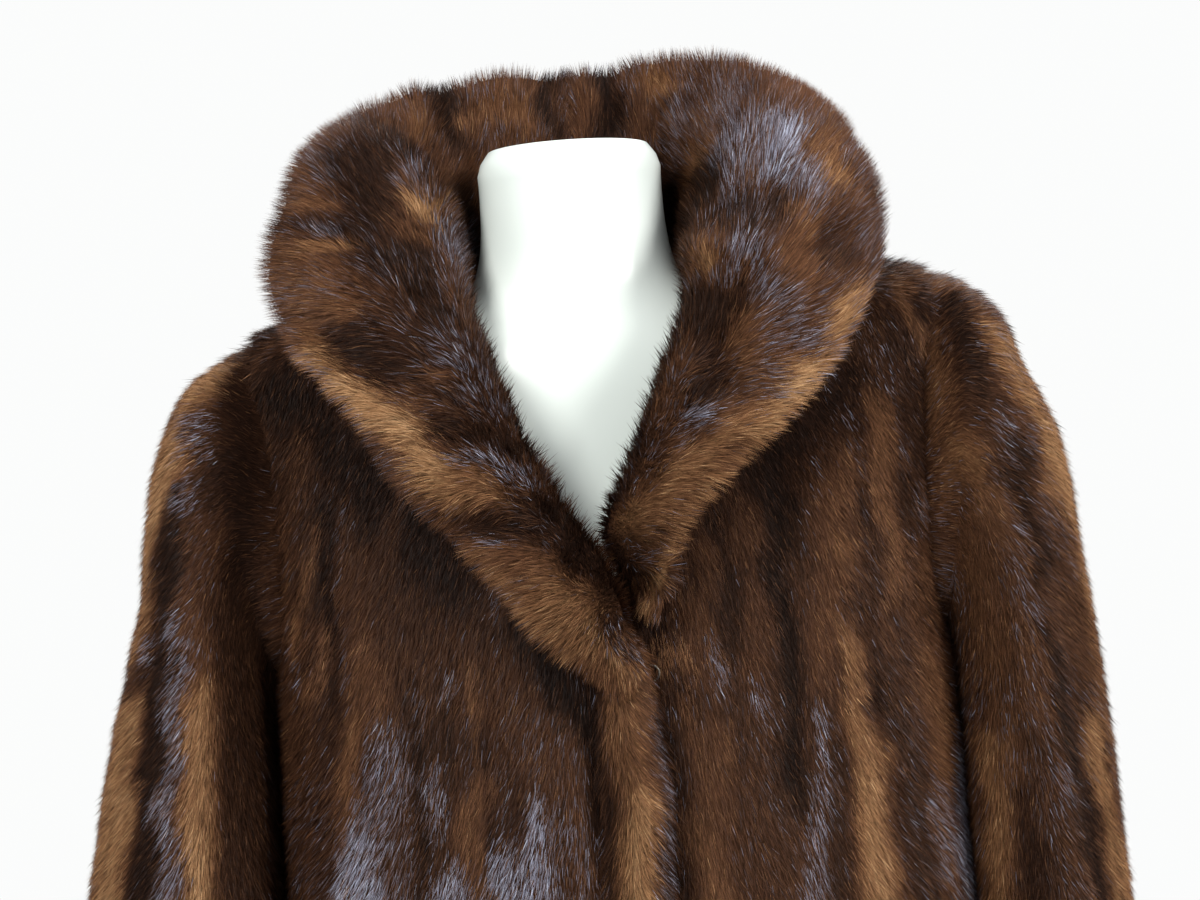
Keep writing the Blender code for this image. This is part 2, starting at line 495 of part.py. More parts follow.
def dress_form(collection, mat):
    """Neck and torso as one closed loft of rings, flat at the neck and below."""
    around = 32
    z = np.asarray(FORM["z"])
    turn = np.linspace(0, 2 * math.pi, around, endpoint=False)
    rings = []
    for k, height in enumerate(z):
        s, c = np.sin(turn), np.cos(turn)
        deep = np.where(c > 0, FORM["front"][k], FORM["back"][k])
        rings.append(np.stack([FORM["half"][k] * s, -deep * np.sign(c) * np.abs(c) ** 0.92, np.full(around, height)], -1))
    ob = loft("form_torso", np.array(rings), True, False)
    bm = bmesh.new()
    bm.from_mesh(ob.data)
    bmesh.ops.holes_fill(bm, edges=[e for e in bm.edges if e.is_boundary], sides=0)
    bmesh.ops.triangulate(bm, faces=[f for f in bm.faces if len(f.verts) > 4])
    bmesh.ops.recalc_face_normals(bm, faces=bm.faces)
    bm.to_mesh(ob.data)
    bm.free()
    ob.data.shade_smooth()
    ob.data.set_sharp_from_angle(angle=math.radians(50))
    return add(collection, ob, mat)


def stand(collection, mat):
    bottom, top = BASE_THICK + SEAM, FORM["z"][0] - SEAM
    bpy.ops.mesh.primitive_cylinder_add(vertices=24, radius=POLE_RADIUS, depth=top - bottom, location=(0, 0, (top + bottom) / 2))
    pole = bpy.context.object
    pole.name = "form_pole"
    add(collection, pole, mat)
    pole.data.shade_smooth()
    pole.data.set_sharp_from_angle(angle=math.radians(50))
    profile = bpy.data.meshes.new("form_base")
    outline = [(0.0, BASE_THICK), (0.030, BASE_THICK), (BASE_RADIUS - 0.030, BASE_THICK * 0.72), (BASE_RADIUS - 0.004, BASE_THICK * 0.42), (BASE_RADIUS, BASE_THICK * 0.22), (BASE_RADIUS, 0.0), (0.0, 0.0)]
    bm = bmesh.new()
    verts = [bm.verts.new((r, 0, h)) for r, h in outline]
    for a, b in zip(verts, verts[1:]):
        bm.edges.new((a, b))
    bm.to_mesh(profile)
    bm.free()
    base = bpy.data.objects.new("form_base", profile)
    screw = base.modifiers.new("turn", "SCREW")
    screw.steps = screw.render_steps = 48
    screw.use_merge_vertices = True
    screw.merge_threshold = 0.0001
    screw.use_smooth_shade = True
    add(collection, base, mat)


def wire(collection, name, points, radius, mat, cyclic=False):
    data = bpy.data.curves.new(name, "CURVE")
    data.dimensions = "3D"
    data.bevel_depth = radius
    data.bevel_resolution = 2
    data.use_fill_caps = not cyclic
    spline = data.splines.new("POLY")
    spline.points.add(len(points) - 1)
    for p, co in zip(spline.points, points):
        p.co = (*co, 1)
    spline.use_cyclic_u = cyclic
    return add(collection, bpy.data.objects.new(name, data), mat)


def fastening(collection, mat):
    """A hook sewn behind the band, closed in an eye on the left front."""
    z, x = 1.190, 0.0268
    angle, drop = place(x, z, False)
    face = body_point(angle, drop, False)
    ring, eye_wire, hook_wire = 0.0045, 0.0006, 0.0007
    turn = np.linspace(0, 2 * math.pi, 20, endpoint=False)
    eye_y = face[1] - 0.0029
    wire(collection, "hook_eye", [(x + ring * math.cos(a), eye_y, z + ring * math.sin(a)) for a in turn], eye_wire, mat, cyclic=True)
    bend, bend_x = 0.0018, x - ring + 0.0008
    curl = [(bend_x + bend * math.cos(a), eye_y + bend * math.sin(a), z) for a in np.linspace(-math.pi / 2, math.pi / 2, 9)]
    shank = [(share, eye_y - bend, z) for share in (x - 0.024, x - 0.016, x - 0.010)]
    wire(collection, "fur_hook", shank + curl + [(bend_x - 0.0022, eye_y + bend, z)], hook_wire, mat)


def build():
    clear_scene()
    part = bpy.data.collections.new("fur_coat_on_dress_form")
    bpy.context.scene.collection.children.link(part)
    fur = material("fur", COLOURS["fur"], 0.55)
    shell = material("form_shell", COLOURS["form"], 0.18)
    steel = material("steel", COLOURS["steel"], 0.30, 1.0)
    metal = material("hook_metal", COLOURS["hook_metal"], 0.30, 1.0)

    necks, back_necks, below = 10, 5, 8
    halves = {}
    for side, table, edge_x in ((1, V_LEFT, LEFT_EDGE_X), (-1, V_RIGHT, RIGHT_EDGE_X)):
        front = panel(side, False, table, edge_x, (necks, LINE_COLUMNS - 1), below)
        back = panel(side, True, NECK_BACK, 0.0, (back_necks, LINE_COLUMNS - 1), below)
        tube = stitch(front, back, sleeve_rings(side, 14))
        halves[side] = front, back, tube
    middle = 0.5 * (halves[1][1][:, :1] + halves[-1][1][:, :1])
    back = np.concatenate([halves[-1][1][:, :0:-1], middle, halves[1][1][:, 1:]], 1)

    cloth(part, "front_left", halves[1][0], fur)
    cloth(part, "front_right", halves[-1][0], fur, flip=True)
    cloth(part, "coat_back", back, fur, flip=True)
    cloth(part, "sleeve_left", halves[1][2], fur, closed=True, flip=True)
    cloth(part, "sleeve_right", halves[-1][2], fur, closed=True)

    gap = 0.012
    cloth(part, "collar_left", collar(1, gap, 11, 23, 8), fur, wall=COLLAR_WALL, offset=0.0)
    cloth(part, "collar_right", collar(-1, gap, 11, 23, 8), fur, wall=COLLAR_WALL, offset=0.0, flip=True)
    cloth(part, "front_band", band(12, 11), fur, wall=COLLAR_WALL, offset=0.0, flip=True)

    dress_form(part, shell)
    stand(part, steel)
    fastening(part, metal)


build()
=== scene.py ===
"""Looks of the fur coat on its dress form.

Metres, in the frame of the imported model: +Z up, the coat's front faces -Y and
the wearer's left side is at +X.
"""

import math

import bpy
import numpy as np
from mathutils import Matrix
from mathutils.bvhtree import BVHTree


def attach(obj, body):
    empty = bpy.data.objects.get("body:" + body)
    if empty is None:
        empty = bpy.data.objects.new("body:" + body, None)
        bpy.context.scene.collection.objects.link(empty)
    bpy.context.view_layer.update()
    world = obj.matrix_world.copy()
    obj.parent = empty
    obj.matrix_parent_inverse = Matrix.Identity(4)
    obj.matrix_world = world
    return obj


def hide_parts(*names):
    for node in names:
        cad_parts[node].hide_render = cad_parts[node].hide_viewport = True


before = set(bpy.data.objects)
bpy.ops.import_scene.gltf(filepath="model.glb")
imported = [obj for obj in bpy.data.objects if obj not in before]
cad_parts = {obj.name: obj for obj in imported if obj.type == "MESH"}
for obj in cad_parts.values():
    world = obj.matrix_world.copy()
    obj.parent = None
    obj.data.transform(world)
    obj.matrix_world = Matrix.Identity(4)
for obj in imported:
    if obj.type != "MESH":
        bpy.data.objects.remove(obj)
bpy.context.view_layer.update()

EYE = np.array([0.007, -1.45, 1.316])   # where the coat is looked at from
ROLL = 4.0                              # degrees, the picture leans to its left
LENS = 71.3

# ---------------------------------------------------------------- sizes
SEAM = 0.0003            # clearance on each side of a seam
WALL = 0.003             # body and sleeve wall: skin, interlining and lining
COLLAR_WALL = 0.004      # two skins, back to back
COLLAR_CLEAR = 0.0012    # clearance between the collar and the panels under it
STRIP = 0.003            # width of the strip beside a seam
LINE_COLUMNS = 5         # columns of a panel along the shoulder seam
HEM_Z = 0.375            # height of the hem
CUFF_Z = 0.80            # height of the cuffs
UNDERARM_Z = 1.19        # height of the underarm points
RIDGE_Z = 1.440          # shoulder line, carried to the middle
RIDGE_SLOPE = 0.235      # fall of the shoulder line for each metre outward
RIDGE_TILT = 0.040       # the wearer's left shoulder sits a little higher
CENTRE_X = 0.006         # the body hangs slightly to the wearer's left
FRONT_TURN_Z = 1.24      # above this the front curves back to the shoulder line
BACK_TURN_Z = 1.28       # above this the back curves forward
TURN_POWER = 2.2
LEFT_EDGE_X = -0.030     # edge of the left front, under the lap
RIGHT_EDGE_X = 0.008     # edge of the right front, over the lap
LAP_LIFT = 0.014         # how far the right front stands off the left one
LAP_START_X = -0.085     # where that lift begins

# Body rings: half width, depth in front and depth behind, and how far the side
# seams lie behind the middle, by height. round is 1 for an ellipse, less for a
# ring with fuller corners.
BODY = dict(
    z=     (0.375, 0.48, 0.60, 0.72, 0.80, 0.87, 0.95, 1.04, 1.10, 1.19, 1.24, 1.30, 1.36, 1.45),
    half=  (0.322, 0.294, 0.264, 0.241, 0.229, 0.2195, 0.2105, 0.2035, 0.2010, 0.1990, 0.200, 0.206, 0.213, 0.214),
    front= (0.206, 0.194, 0.178, 0.163, 0.153, 0.145, 0.138, 0.131, 0.127, 0.124, 0.120, 0.115, 0.110, 0.106),
    back=  (0.206, 0.190, 0.171, 0.154, 0.145, 0.138, 0.132, 0.127, 0.125, 0.124, 0.124, 0.124, 0.124, 0.124),
    side_y=(0.000, 0.006, 0.012, 0.017, 0.019, 0.020, 0.020, 0.017, 0.012, 0.002, 0.0, 0.0, 0.0, 0.0),
    round= (0.85, 0.82, 0.78, 0.74, 0.71, 0.69, 0.67, 0.66, 0.66, 0.70, 0.76, 0.83, 0.85, 0.85),
)

# Armhole edge of each panel, from the shoulder point down to the underarm:
# angle round the body (degrees from the middle of its panel) and height.
ARMHOLE = dict(
    step=       (0.0, 0.02, 0.10, 0.25, 0.45, 0.65, 0.82, 0.92, 1.0),
    front_angle=(68.5, 68.4, 68.2, 67.8, 68.0, 69.5, 73.0, 79.0, 90.0),
    back_angle= (68.5, 68.6, 69.2, 70.0, 70.5, 71.5, 74.5, 80.0, 90.0),
    drop=       (0.0, 0.0004, 0.010, 0.042, 0.093, 0.145, 0.182, 0.196, 0.202),
)
ARMHOLE_STEPS = (0.0, 0.012, 0.09, 0.19, 0.30, 0.42, 0.54, 0.66, 0.77, 0.86, 0.94, 1.0)

# Neck edge of each front panel, from the foot of the V to the side of the neck,
# where it is given by y in place of z, and of half the back.
V_LEFT = dict(
    x=(LEFT_EDGE_X, -0.014, 0.004, 0.022, 0.040, 0.055, 0.066, 0.073, 0.078, 0.079),
    z=(1.170, 1.200, 1.231, 1.262, 1.295, 1.328, 1.360, None, None, None),
    y=(None, None, None, None, None, None, None, -0.064, -0.032, 0.0),
)
V_RIGHT = dict(
    x=(RIGHT_EDGE_X, -0.001, -0.011, -0.026, -0.042, -0.055, -0.066, -0.073, -0.078, -0.079),
    z=(1.202, 1.224, 1.248, 1.276, 1.305, 1.332, 1.360, None, None, None),
    y=(None, None, None, None, None, None, None, -0.064, -0.032, 0.0),
)
NECK_BACK = dict(
    x=(0.0, 0.030, 0.055, 0.072, 0.079),
    z=(None, None, None, None, None),
    y=(0.072, 0.067, 0.051, 0.029, 0.0),
)

# Soft folds of the body: angle from the middle of the front at the chest and at
# the hem (degrees, + to the wearer's left), half width, height at the hem (mm),
# height at the chest (mm), and where it starts.
FOLDS = dict(
    chest=(-76, -58, -38, -20, 24, 41, 58, 77, 104, 128, 154, 178, 203, 228, 254),
    hem=  (-78, -57, -36, -15, 19, 40, 61, 80, 103, 129, 153, 180, 205, 229, 256),
    wide= (6.5, 6.0, 6.5, 6.0, 6.0, 6.0, 6.5, 6.5, 7.0, 7.5, 7.0, 8.0, 7.0, 7.5, 7.0),
    low=  (13, 16, 12, 8, 10, 15, 12, 14, 14, 17, 13, 18, 14, 16, 13),
    high= (1.0, 2.5, 2.0, 1.2, 1.5, 3.5, 3.0, 1.5, 1.5, 2.5, 2.0, 2.0, 2.0, 2.5, 1.5),
    top=  (1.22, 1.34, 1.30, 1.16, 1.18, 1.36, 1.36, 1.24, 1.28, 1.34, 1.34, 1.32, 1.34, 1.32, 1.26),
)

# Sleeves, shoulder to cuff: outer and inner line as seen from the front, half
# depth and the y of the middle. x is the distance from the centre plane.
SLEEVE_LEFT = dict(
    out_x=(0.2270, 0.2445, 0.2560, 0.2700, 0.2800, 0.2880, 0.2935, 0.2975, 0.3010, 0.3090, 0.3190, 0.3270),
    out_z=(1.399, 1.380, 1.350, 1.318, 1.279, 1.232, 1.178, 1.110, 1.030, 0.955, 0.875, CUFF_Z),
    in_x= (0.2060, 0.2095, 0.2110, 0.2120, 0.2130, 0.2135, 0.2140, 0.2145, 0.2160, 0.2235, 0.2340, 0.2430),
    in_z= (1.1915, 1.187, 1.178, 1.166, 1.150, 1.130, 1.105, 1.065, 1.010, 0.948, 0.872, CUFF_Z),
    deep= (0.062, 0.067, 0.071, 0.074, 0.076, 0.077, 0.077, 0.076, 0.074, 0.071, 0.067, 0.064),
    mid_y=(0.000, -0.003, -0.006, -0.009, -0.012, -0.014, -0.016, -0.018, -0.021, -0.025, -0.031, -0.036),
)
SLEEVE_RIGHT = dict(
    out_x=(0.2180, 0.2390, 0.2525, 0.2610, 0.2695, 0.2790, 0.2880, 0.3015, 0.3170, 0.3270, 0.3340, 0.3380),
    out_z=(1.380, 1.356, 1.324, 1.288, 1.250, 1.215, 1.180, 1.122, 1.040, 0.960, 0.875, CUFF_Z),
    in_x= (0.1945, 0.1980, 0.1995, 0.2005, 0.2010, 0.2015, 0.2015, 0.2020, 0.2035, 0.2110, 0.2240, 0.2330),
    in_z= (1.1915, 1.187, 1.178, 1.166, 1.150, 1.132, 1.110, 1.070, 1.012, 0.948, 0.872, CUFF_Z),
    deep= (0.062, 0.067, 0.071, 0.074, 0.077, 0.078, 0.078, 0.078, 0.077, 0.074, 0.069, 0.065),
    mid_y=(0.000, -0.003, -0.006, -0.009, -0.012, -0.014, -0.016, -0.018, -0.021, -0.025, -0.031, -0.036),
)
# Lengthwise troughs of the sleeves: angle round the sleeve (degrees from its
# outer line towards the front), half width and depth in mm.
SLEEVE_TROUGHS = dict(angle=(52, 118, 205, 290), wide=(13, 15, 17, 16), deep=(5.0, 3.0, 3.5, 4.0))

# Shawl collar, middle of the back to the foot of the V. Each row is one
# section, as a curve from its seam on the neck line (-1 in the middle of the
# back, 0 at the shoulder seam, 1 at the foot of the V) over lift and crown
# (x, y, z) to its free edge.
COLLAR_LEFT = dict(
    seam= (-1.0, -0.66, -0.34, -0.10, 0.10, 0.22, 0.33, 0.43, 0.53, 0.62, 0.68, 0.72),
    lift= ((0.000, 0.073, 1.470), (0.036, 0.065, 1.473), (0.061, 0.042, 1.478), (0.068, 0.016, 1.484), (0.061, -0.014, 1.484),
           (0.053, -0.044, 1.462), (0.047, -0.084, 1.422), (0.033, -0.119, 1.372), (0.014, -0.140, 1.322), (0.003, -0.146, 1.290), (0.013, -0.141, 1.255), (0.0270, -0.1350, 1.222)),
    crown=((0.000, 0.095, 1.520), (0.052, 0.088, 1.526), (0.088, 0.066, 1.538), (0.116, 0.034, 1.560), (0.130, -0.008, 1.566),
           (0.139, -0.056, 1.520), (0.122, -0.112, 1.462), (0.086, -0.148, 1.396), (0.052, -0.165, 1.342), (0.030, -0.166, 1.296), (0.034, -0.150, 1.252), (0.0345, -0.1385, 1.219)),
    edge= ((0.000, 0.128, 1.562), (0.062, 0.120, 1.564), (0.116, 0.094, 1.553), (0.157, 0.056, 1.518), (0.183, 0.018, 1.468),
           (0.190, -0.026, 1.410), (0.166, -0.068, 1.366), (0.132, -0.098, 1.334), (0.095, -0.119, 1.306), (0.060, -0.132, 1.277), (0.0455, -0.1325, 1.246), (0.0385, -0.1310, 1.218)),
)
# The right half goes on as the band round the right front's edge.
COLLAR_RIGHT = dict(
    seam= (-1.0, -0.66, -0.34, -0.10, 0.10, 0.22, 0.34, 0.46, 0.58, 0.72, 0.86, 1.0),
    lift= ((0.000, 0.073, 1.470), (0.036, 0.065, 1.471), (0.061, 0.042, 1.474), (0.068, 0.016, 1.478), (0.061, -0.014, 1.478),
           (0.053, -0.044, 1.458), (0.048, -0.084, 1.420), (0.037, -0.120, 1.374), (0.021, -0.144, 1.326), (0.000, -0.162, 1.282), (-0.018, -0.163, 1.238), (-0.036, -0.1400, 1.202)),
    crown=((0.000, 0.095, 1.520), (0.052, 0.088, 1.523), (0.088, 0.066, 1.534), (0.116, 0.034, 1.556), (0.130, -0.008, 1.560),
           (0.139, -0.056, 1.512), (0.124, -0.112, 1.456), (0.094, -0.150, 1.392), (0.070, -0.172, 1.334), (0.042, -0.186, 1.280), (0.012, -0.186, 1.234), (-0.024, -0.1680, 1.196)),
    edge= ((0.000, 0.128, 1.562), (0.062, 0.120, 1.562), (0.116, 0.094, 1.549), (0.157, 0.056, 1.514), (0.181, 0.018, 1.468),
           (0.188, -0.026, 1.412), (0.164, -0.068, 1.366), (0.124, -0.104, 1.333), (0.096, -0.126, 1.293), (0.054, -0.142, 1.250), (0.024, -0.1500, 1.210), (0.0050, -0.1490, 1.172)),
)
# Band round the right front's edge, collar to hem: where its two sides end (x),
# how far it reaches past the edge of the panel, and how far it stands out there.
BAND = dict(
    z=    (1.198, 1.160, 1.120, 1.080, 0.900, 0.650, HEM_Z),
    under=(-0.010, -0.009, -0.008, -0.008, -0.008, -0.008, -0.008),
    over= (-0.012, -0.010, -0.008, -0.008, -0.008, -0.008, -0.008),
    reach=(0.0195, 0.0230, 0.0255, 0.0235, 0.0225, 0.0240, 0.0260),
    stand=(0.007, 0.007, 0.007, 0.007, 0.007, 0.008, 0.009),
)
BAND_TURN = 0.012        # radius of its turn, in x
BAND_SLANT = 0.66        # slope of its upper end, cut like the collar's end

# Dress form, floor side up: half width, depth in front and behind.
FORM = dict(
    z=    (0.760, 0.775, 0.84, 0.92, 1.00, 1.08, 1.14, 1.20, 1.26, 1.305, 1.335, 1.355, 1.370, 1.382, 1.392, 1.402, 1.414, 1.430, 1.450, 1.475, 1.492, 1.500),
    half= (0.150, 0.160, 0.166, 0.148, 0.122, 0.132, 0.146, 0.156, 0.165, 0.168, 0.163, 0.152, 0.136, 0.115, 0.094, 0.079, 0.067, 0.060, 0.0565, 0.0555, 0.0545, 0.0490),
    front=(0.088, 0.096, 0.100, 0.088, 0.076, 0.094, 0.106, 0.106, 0.096, 0.087, 0.081, 0.077, 0.073, 0.069, 0.065, 0.061, 0.058, 0.056, 0.0560, 0.0555, 0.0545, 0.0490),
    back= (0.096, 0.106, 0.110, 0.094, 0.078, 0.084, 0.090, 0.092, 0.090, 0.084, 0.078, 0.073, 0.069, 0.065, 0.061, 0.058, 0.056, 0.055, 0.0550, 0.0545, 0.0535, 0.0480),
)
POLE_RADIUS = 0.0125
BASE_RADIUS = 0.190
BASE_THICK = 0.012


# ---------------------------------------------------------------- curves
def smooth(knots, values, at):
    """Catmull-Rom through a table, with its own spacing, at one or more places."""
    t, p = np.asarray(knots, float), np.asarray(values, float)
    slope = np.gradient(p, t, axis=0)
    at = np.clip(np.asarray(at, float), t[0], t[-1])
    i = np.clip(np.searchsorted(t, at, side="right") - 1, 0, len(t) - 2)
    h = t[i + 1] - t[i]
    u = (at - t[i]) / h
    if p.ndim > 1:
        u, h = u[..., None], h[..., None]
    return (
        p[i] * (1 + 2 * u) * (1 - u) ** 2
        + slope[i] * h * u * (1 - u) ** 2
        + p[i + 1] * u * u * (3 - 2 * u)
        + slope[i + 1] * h * u * u * (u - 1)
    )


def ease(x):
    x = np.clip(x, 0.0, 1.0)
    return x * x * (3 - 2 * x)


def ridge(x):
    """Height of the shoulder line."""
    return RIDGE_Z - RIDGE_SLOPE * np.abs(x) + RIDGE_TILT * x


def fold_height(angle, z):
    """Height of the soft folds, in metres, at an angle from the middle of the front."""
    total = np.zeros(np.broadcast(angle, z).shape)
    for chest, hem, wide, low, high, top in zip(*FOLDS.values()):
        fall = np.clip((1.15 - z) / (1.15 - HEM_Z), 0, 1)
        middle = chest + (hem - chest) * fall
        away = (angle - middle + 180) % 360 - 180
        tall = (high + (low - high) * fall**1.3) * ease((top - z) / 0.12)
        total = total + tall * (np.exp(-((away / wide) ** 2)) - 0.025)
    return total / 1000


def turn_z(behind):
    return BACK_TURN_Z if behind else FRONT_TURN_Z


def place(x, z, behind):
    """Angle (radians) and drop of a point of the body given by x and z. The drop
    runs from -1 on the shoulder line, over 0 where the body turns, to 1 at the hem."""
    x, z = np.broadcast_arrays(np.asarray(x, float), np.asarray(z, float))
    turn = turn_z(behind)
    rise = np.clip((z - turn) / (ridge(x) - turn), 0, 1)
    angle = np.arcsin(np.clip((x - CENTRE_X) / smooth(BODY["z"], BODY["half"], z), -1, 1))
    return angle, np.where(z > turn, -np.arcsin(rise ** (TURN_POWER / 2)) / (math.pi / 2), (turn - z) / (turn - HEM_Z))


def body_point(angle, drop, behind):
    """A point of the body's outer face."""
    angle, drop = np.broadcast_arrays(np.asarray(angle, float), np.asarray(drop, float))
    turn = turn_z(behind)
    over = np.clip(-drop, 0, 1) * math.pi / 2
    sin, cos = np.sin(angle), np.cos(np.clip(angle, -math.pi / 2, math.pi / 2))
    z = turn - np.clip(drop, 0, 1) * (turn - HEM_Z)
    for _ in range(6):
        half = smooth(BODY["z"], BODY["half"], z)
        x = CENTRE_X + half * sin
        z = np.where(drop < 0, turn + (ridge(x) - turn) * np.sin(over) ** (2 / TURN_POWER), z)
    side_y = smooth(BODY["z"], BODY["side_y"], z)
    deep = smooth(BODY["z"], BODY["back" if behind else "front"], z) + (-side_y if behind else side_y)
    y = deep * np.clip(cos, 0, 1) ** smooth(BODY["z"], BODY["round"], z) * np.cos(over) ** (2 / TURN_POWER)
    degrees = np.degrees(angle)
    push = fold_height(180 - degrees if behind else degrees, z) * ease((ridge(x) - z) / 0.08)
    return np.stack([x + push * sin, side_y + (y + push * cos) * (1 if behind else -1), z], -1)


def over_body(angle, drop, behind, out):
    """A point moved out from the body's outer face."""
    step = 0.004
    across = body_point(angle + step, drop, behind) - body_point(angle - step, drop, behind)
    down = body_point(angle, drop + step, behind) - body_point(angle, np.maximum(drop - step, -1), behind)
    normal = np.cross(across, down) * (1 if behind else -1)
    normal /= np.linalg.norm(normal, axis=-1)[..., None]
    return body_point(angle, drop, behind) + normal * out


def lap(x, z):
    """How far the right front stands off the left one, towards its edge."""
    return LAP_LIFT * ease((x - LAP_START_X) / (-0.015 - LAP_START_X)) * ease((1.36 - z) / 0.10)


def neck_line(table, side, behind, at):
    """Angle and drop of points along a neck edge, at shares from its middle end to the shoulder seam."""
    sign = side if table is NECK_BACK else 1
    angles, drops = [], []
    for x, z, y in zip(table["x"], table["z"], table["y"]):
        if z is not None:
            angle, drop = place(sign * x, z, behind)
        else:
            over, turn = math.pi / 2, turn_z(behind)
            for _ in range(12):
                z = turn + (ridge(sign * x) - turn) * math.sin(over) ** (2 / TURN_POWER)
                angle = place(sign * x, z, behind)[0]
                deep = smooth(BODY["z"], BODY["back" if behind else "front"], z) * math.cos(angle) ** smooth(BODY["z"], BODY["round"], z)
                over = math.acos(min(abs(y) / deep, 1.0) ** (TURN_POWER / 2))
            drop = -over / (math.pi / 2)
        angles.append(float(angle))
        drops.append(float(drop))
    step = np.linspace(0, 1, len(angles))
    return smooth(step, angles, at), smooth(step, drops, at)


def unit(v):
    return v / np.linalg.norm(v, axis=-1)[..., None]


def collar(side, first, last, rows, across):
    """Grid of a collar half: sections from the middle of the back forward."""
    table = COLLAR_LEFT if side > 0 else COLLAR_RIGHT
    seam = []
    for share in table["seam"]:
        behind = share < 0
        angle, drop = neck_line(NECK_BACK if behind else (V_LEFT if side > 0 else V_RIGHT), side, behind, 1 - abs(share))
        point = over_body(angle, drop, behind, COLLAR_WALL / 2 + COLLAR_CLEAR)
        if side < 0 and not behind:
            point = point - np.array([0, lap(point[0], point[2]), 0])
        seam.append(point * (side, 1, 1))
    knots = np.arange(len(seam))
    at = np.linspace(first, last, rows)
    points = [smooth(knots, v, at) for v in (seam, table["lift"], table["crown"], table["edge"])]
    trim = smooth(knots, COLLAR_TRIM["left" if side > 0 else "right"], at)[:, None, None]
    t = np.linspace(0, 1, across)[None, :, None] * trim
    a, b, c, d = (p[:, None] for p in points)
    grid = a * (1 - t) ** 3 + 3 * b * t * (1 - t) ** 2 + 3 * c * t * t * (1 - t) + d * t**3
    return grid * (side, 1, 1)


def band(rows, across):
    """Grid of the band: sections that turn round the right front's edge."""
    low = np.linspace(0, 1, rows) ** 1.15
    z = BAND["z"][0] + (HEM_Z - BAND["z"][0]) * low
    under, over, reach, stand = (smooth(BAND["z"][::-1], BAND[k][::-1], z) for k in ("under", "over", "reach", "stand"))
    clear = COLLAR_WALL / 2 + 0.0008
    turn = np.linspace(-math.pi / 2, math.pi / 2, across - 4)
    rings = []
    for k, height in enumerate(z):
        face = []
        for x in (over[k], under[k]):
            angle, drop = place(x, height, False)
            face.append(body_point(angle, drop, False)[1] - lap(x, height))
        front, back = face[0] - clear - 0.001, face[1] + WALL + clear
        mid_x, mid_y = reach[k] - BAND_TURN, 0.5 * (front + back)
        arc = [(mid_x + BAND_TURN * math.cos(a), mid_y - (0.5 * (back - front) + stand[k] * ease((a + 0.6) / 1.6)) * math.sin(a), 0.0) for a in turn]
        line = [(under[k], back, 0.0), (0.5 * (under[k] + mid_x), back, 0.0)] + arc + [(0.5 * (over[k] + mid_x), front - stand[k] * 0.8, 0.0), (over[k], front, 0.0)]
        ring = np.array(line)
        slant = np.where(np.arange(across) > across // 2, BAND_SLANT * (reach[k] - ring[:, 0]), 0.0)
        ring[:, 2] = height - slant * (1 - low[k]) ** 3
        rings.append(ring)
    return np.array(rings)

# Hair by part: blades for each square mm in plain view and elsewhere, their length
# and width (m) in both, how steep they stand (degrees), how far tips lean
# together in tufts, and the size of a tuft (m).
HAIR = dict(
    front=dict(many=1.24, few=0.150, long=(0.0086, 0.0180), wide=(0.00034, 0.0013), lift=24, lean=0.24, tuft=0.0040),
    coat=dict(many=1.0, few=0.148, long=(0.0085, 0.0180), wide=(0.00042, 0.0014), lift=23, lean=0.34, tuft=0.0055),
    sleeve=dict(many=1.24, few=0.150, long=(0.0086, 0.0175), wide=(0.00034, 0.0013), lift=24, lean=0.24, tuft=0.0040),
    collar=dict(many=1.46, few=0.28, long=(0.0102, 0.0175), wide=(0.00038, 0.0010), lift=58, lean=0.27, tuft=0.0044),
    collar_under=dict(many=0.5, few=0.26, long=(0.0120, 0.0165), wide=(0.00080, 0.0011), lift=34, lean=0.35, tuft=0.0060),
)
# Underwool: thickness over the skin and how much it follows the tone (m).
RELIEF = dict(front=(0.0034, 0.0150), coat=(0.0034, 0.0085), sleeve=(0.0032, 0.0105), collar=(0.0040, 0.0210))
# How far across each collar section its pelt reaches; the hair goes on to the edge.
COLLAR_TRIM = dict(left=(0.93, 0.93, 0.93, 0.92, 0.92, 0.925, 0.925, 0.925, 0.92, 0.88, 0.80, 0.70),
                   right=(0.93, 0.92, 0.89, 0.87, 0.89, 0.92, 0.925, 0.925, 0.925, 0.92, 0.90, 0.86))
SINK = dict(sleeve=0.0040)   # how deep its outer side lies in its solid


# Puckers of the collar as seen from the front: from and to (m), half width and depth (mm).
V_TIP = (0.008, 1.2511)   # the foot of the open V
PUCKERS = (
    ((-0.0028, 1.5515), (-0.0038, 1.5027), 5.0, 3.6),
    ((0.0264, 1.5409), (0.028, 1.5029), 4.5, 3.2),
    ((0.109, 1.5156), (0.0749, 1.4654), 6.0, 3.4),
    ((0.057, 1.5498), (0.0591, 1.5019), 5.0, 2.2),
    ((-0.0569, 1.5394), (-0.0484, 1.5034), 5.0, 2.4),
    ((-0.1089, 1.5308), (-0.0836, 1.4899), 7.0, 2.6),
    ((0.1646, 1.4885), (0.1205, 1.4524), 7.0, 2.6),
    ((-0.1652, 1.4779), (-0.1179, 1.4544), 8.0, 2.2),
    ((0.1794, 1.4373), (0.1367, 1.4219), 7.0, 2.0),
)


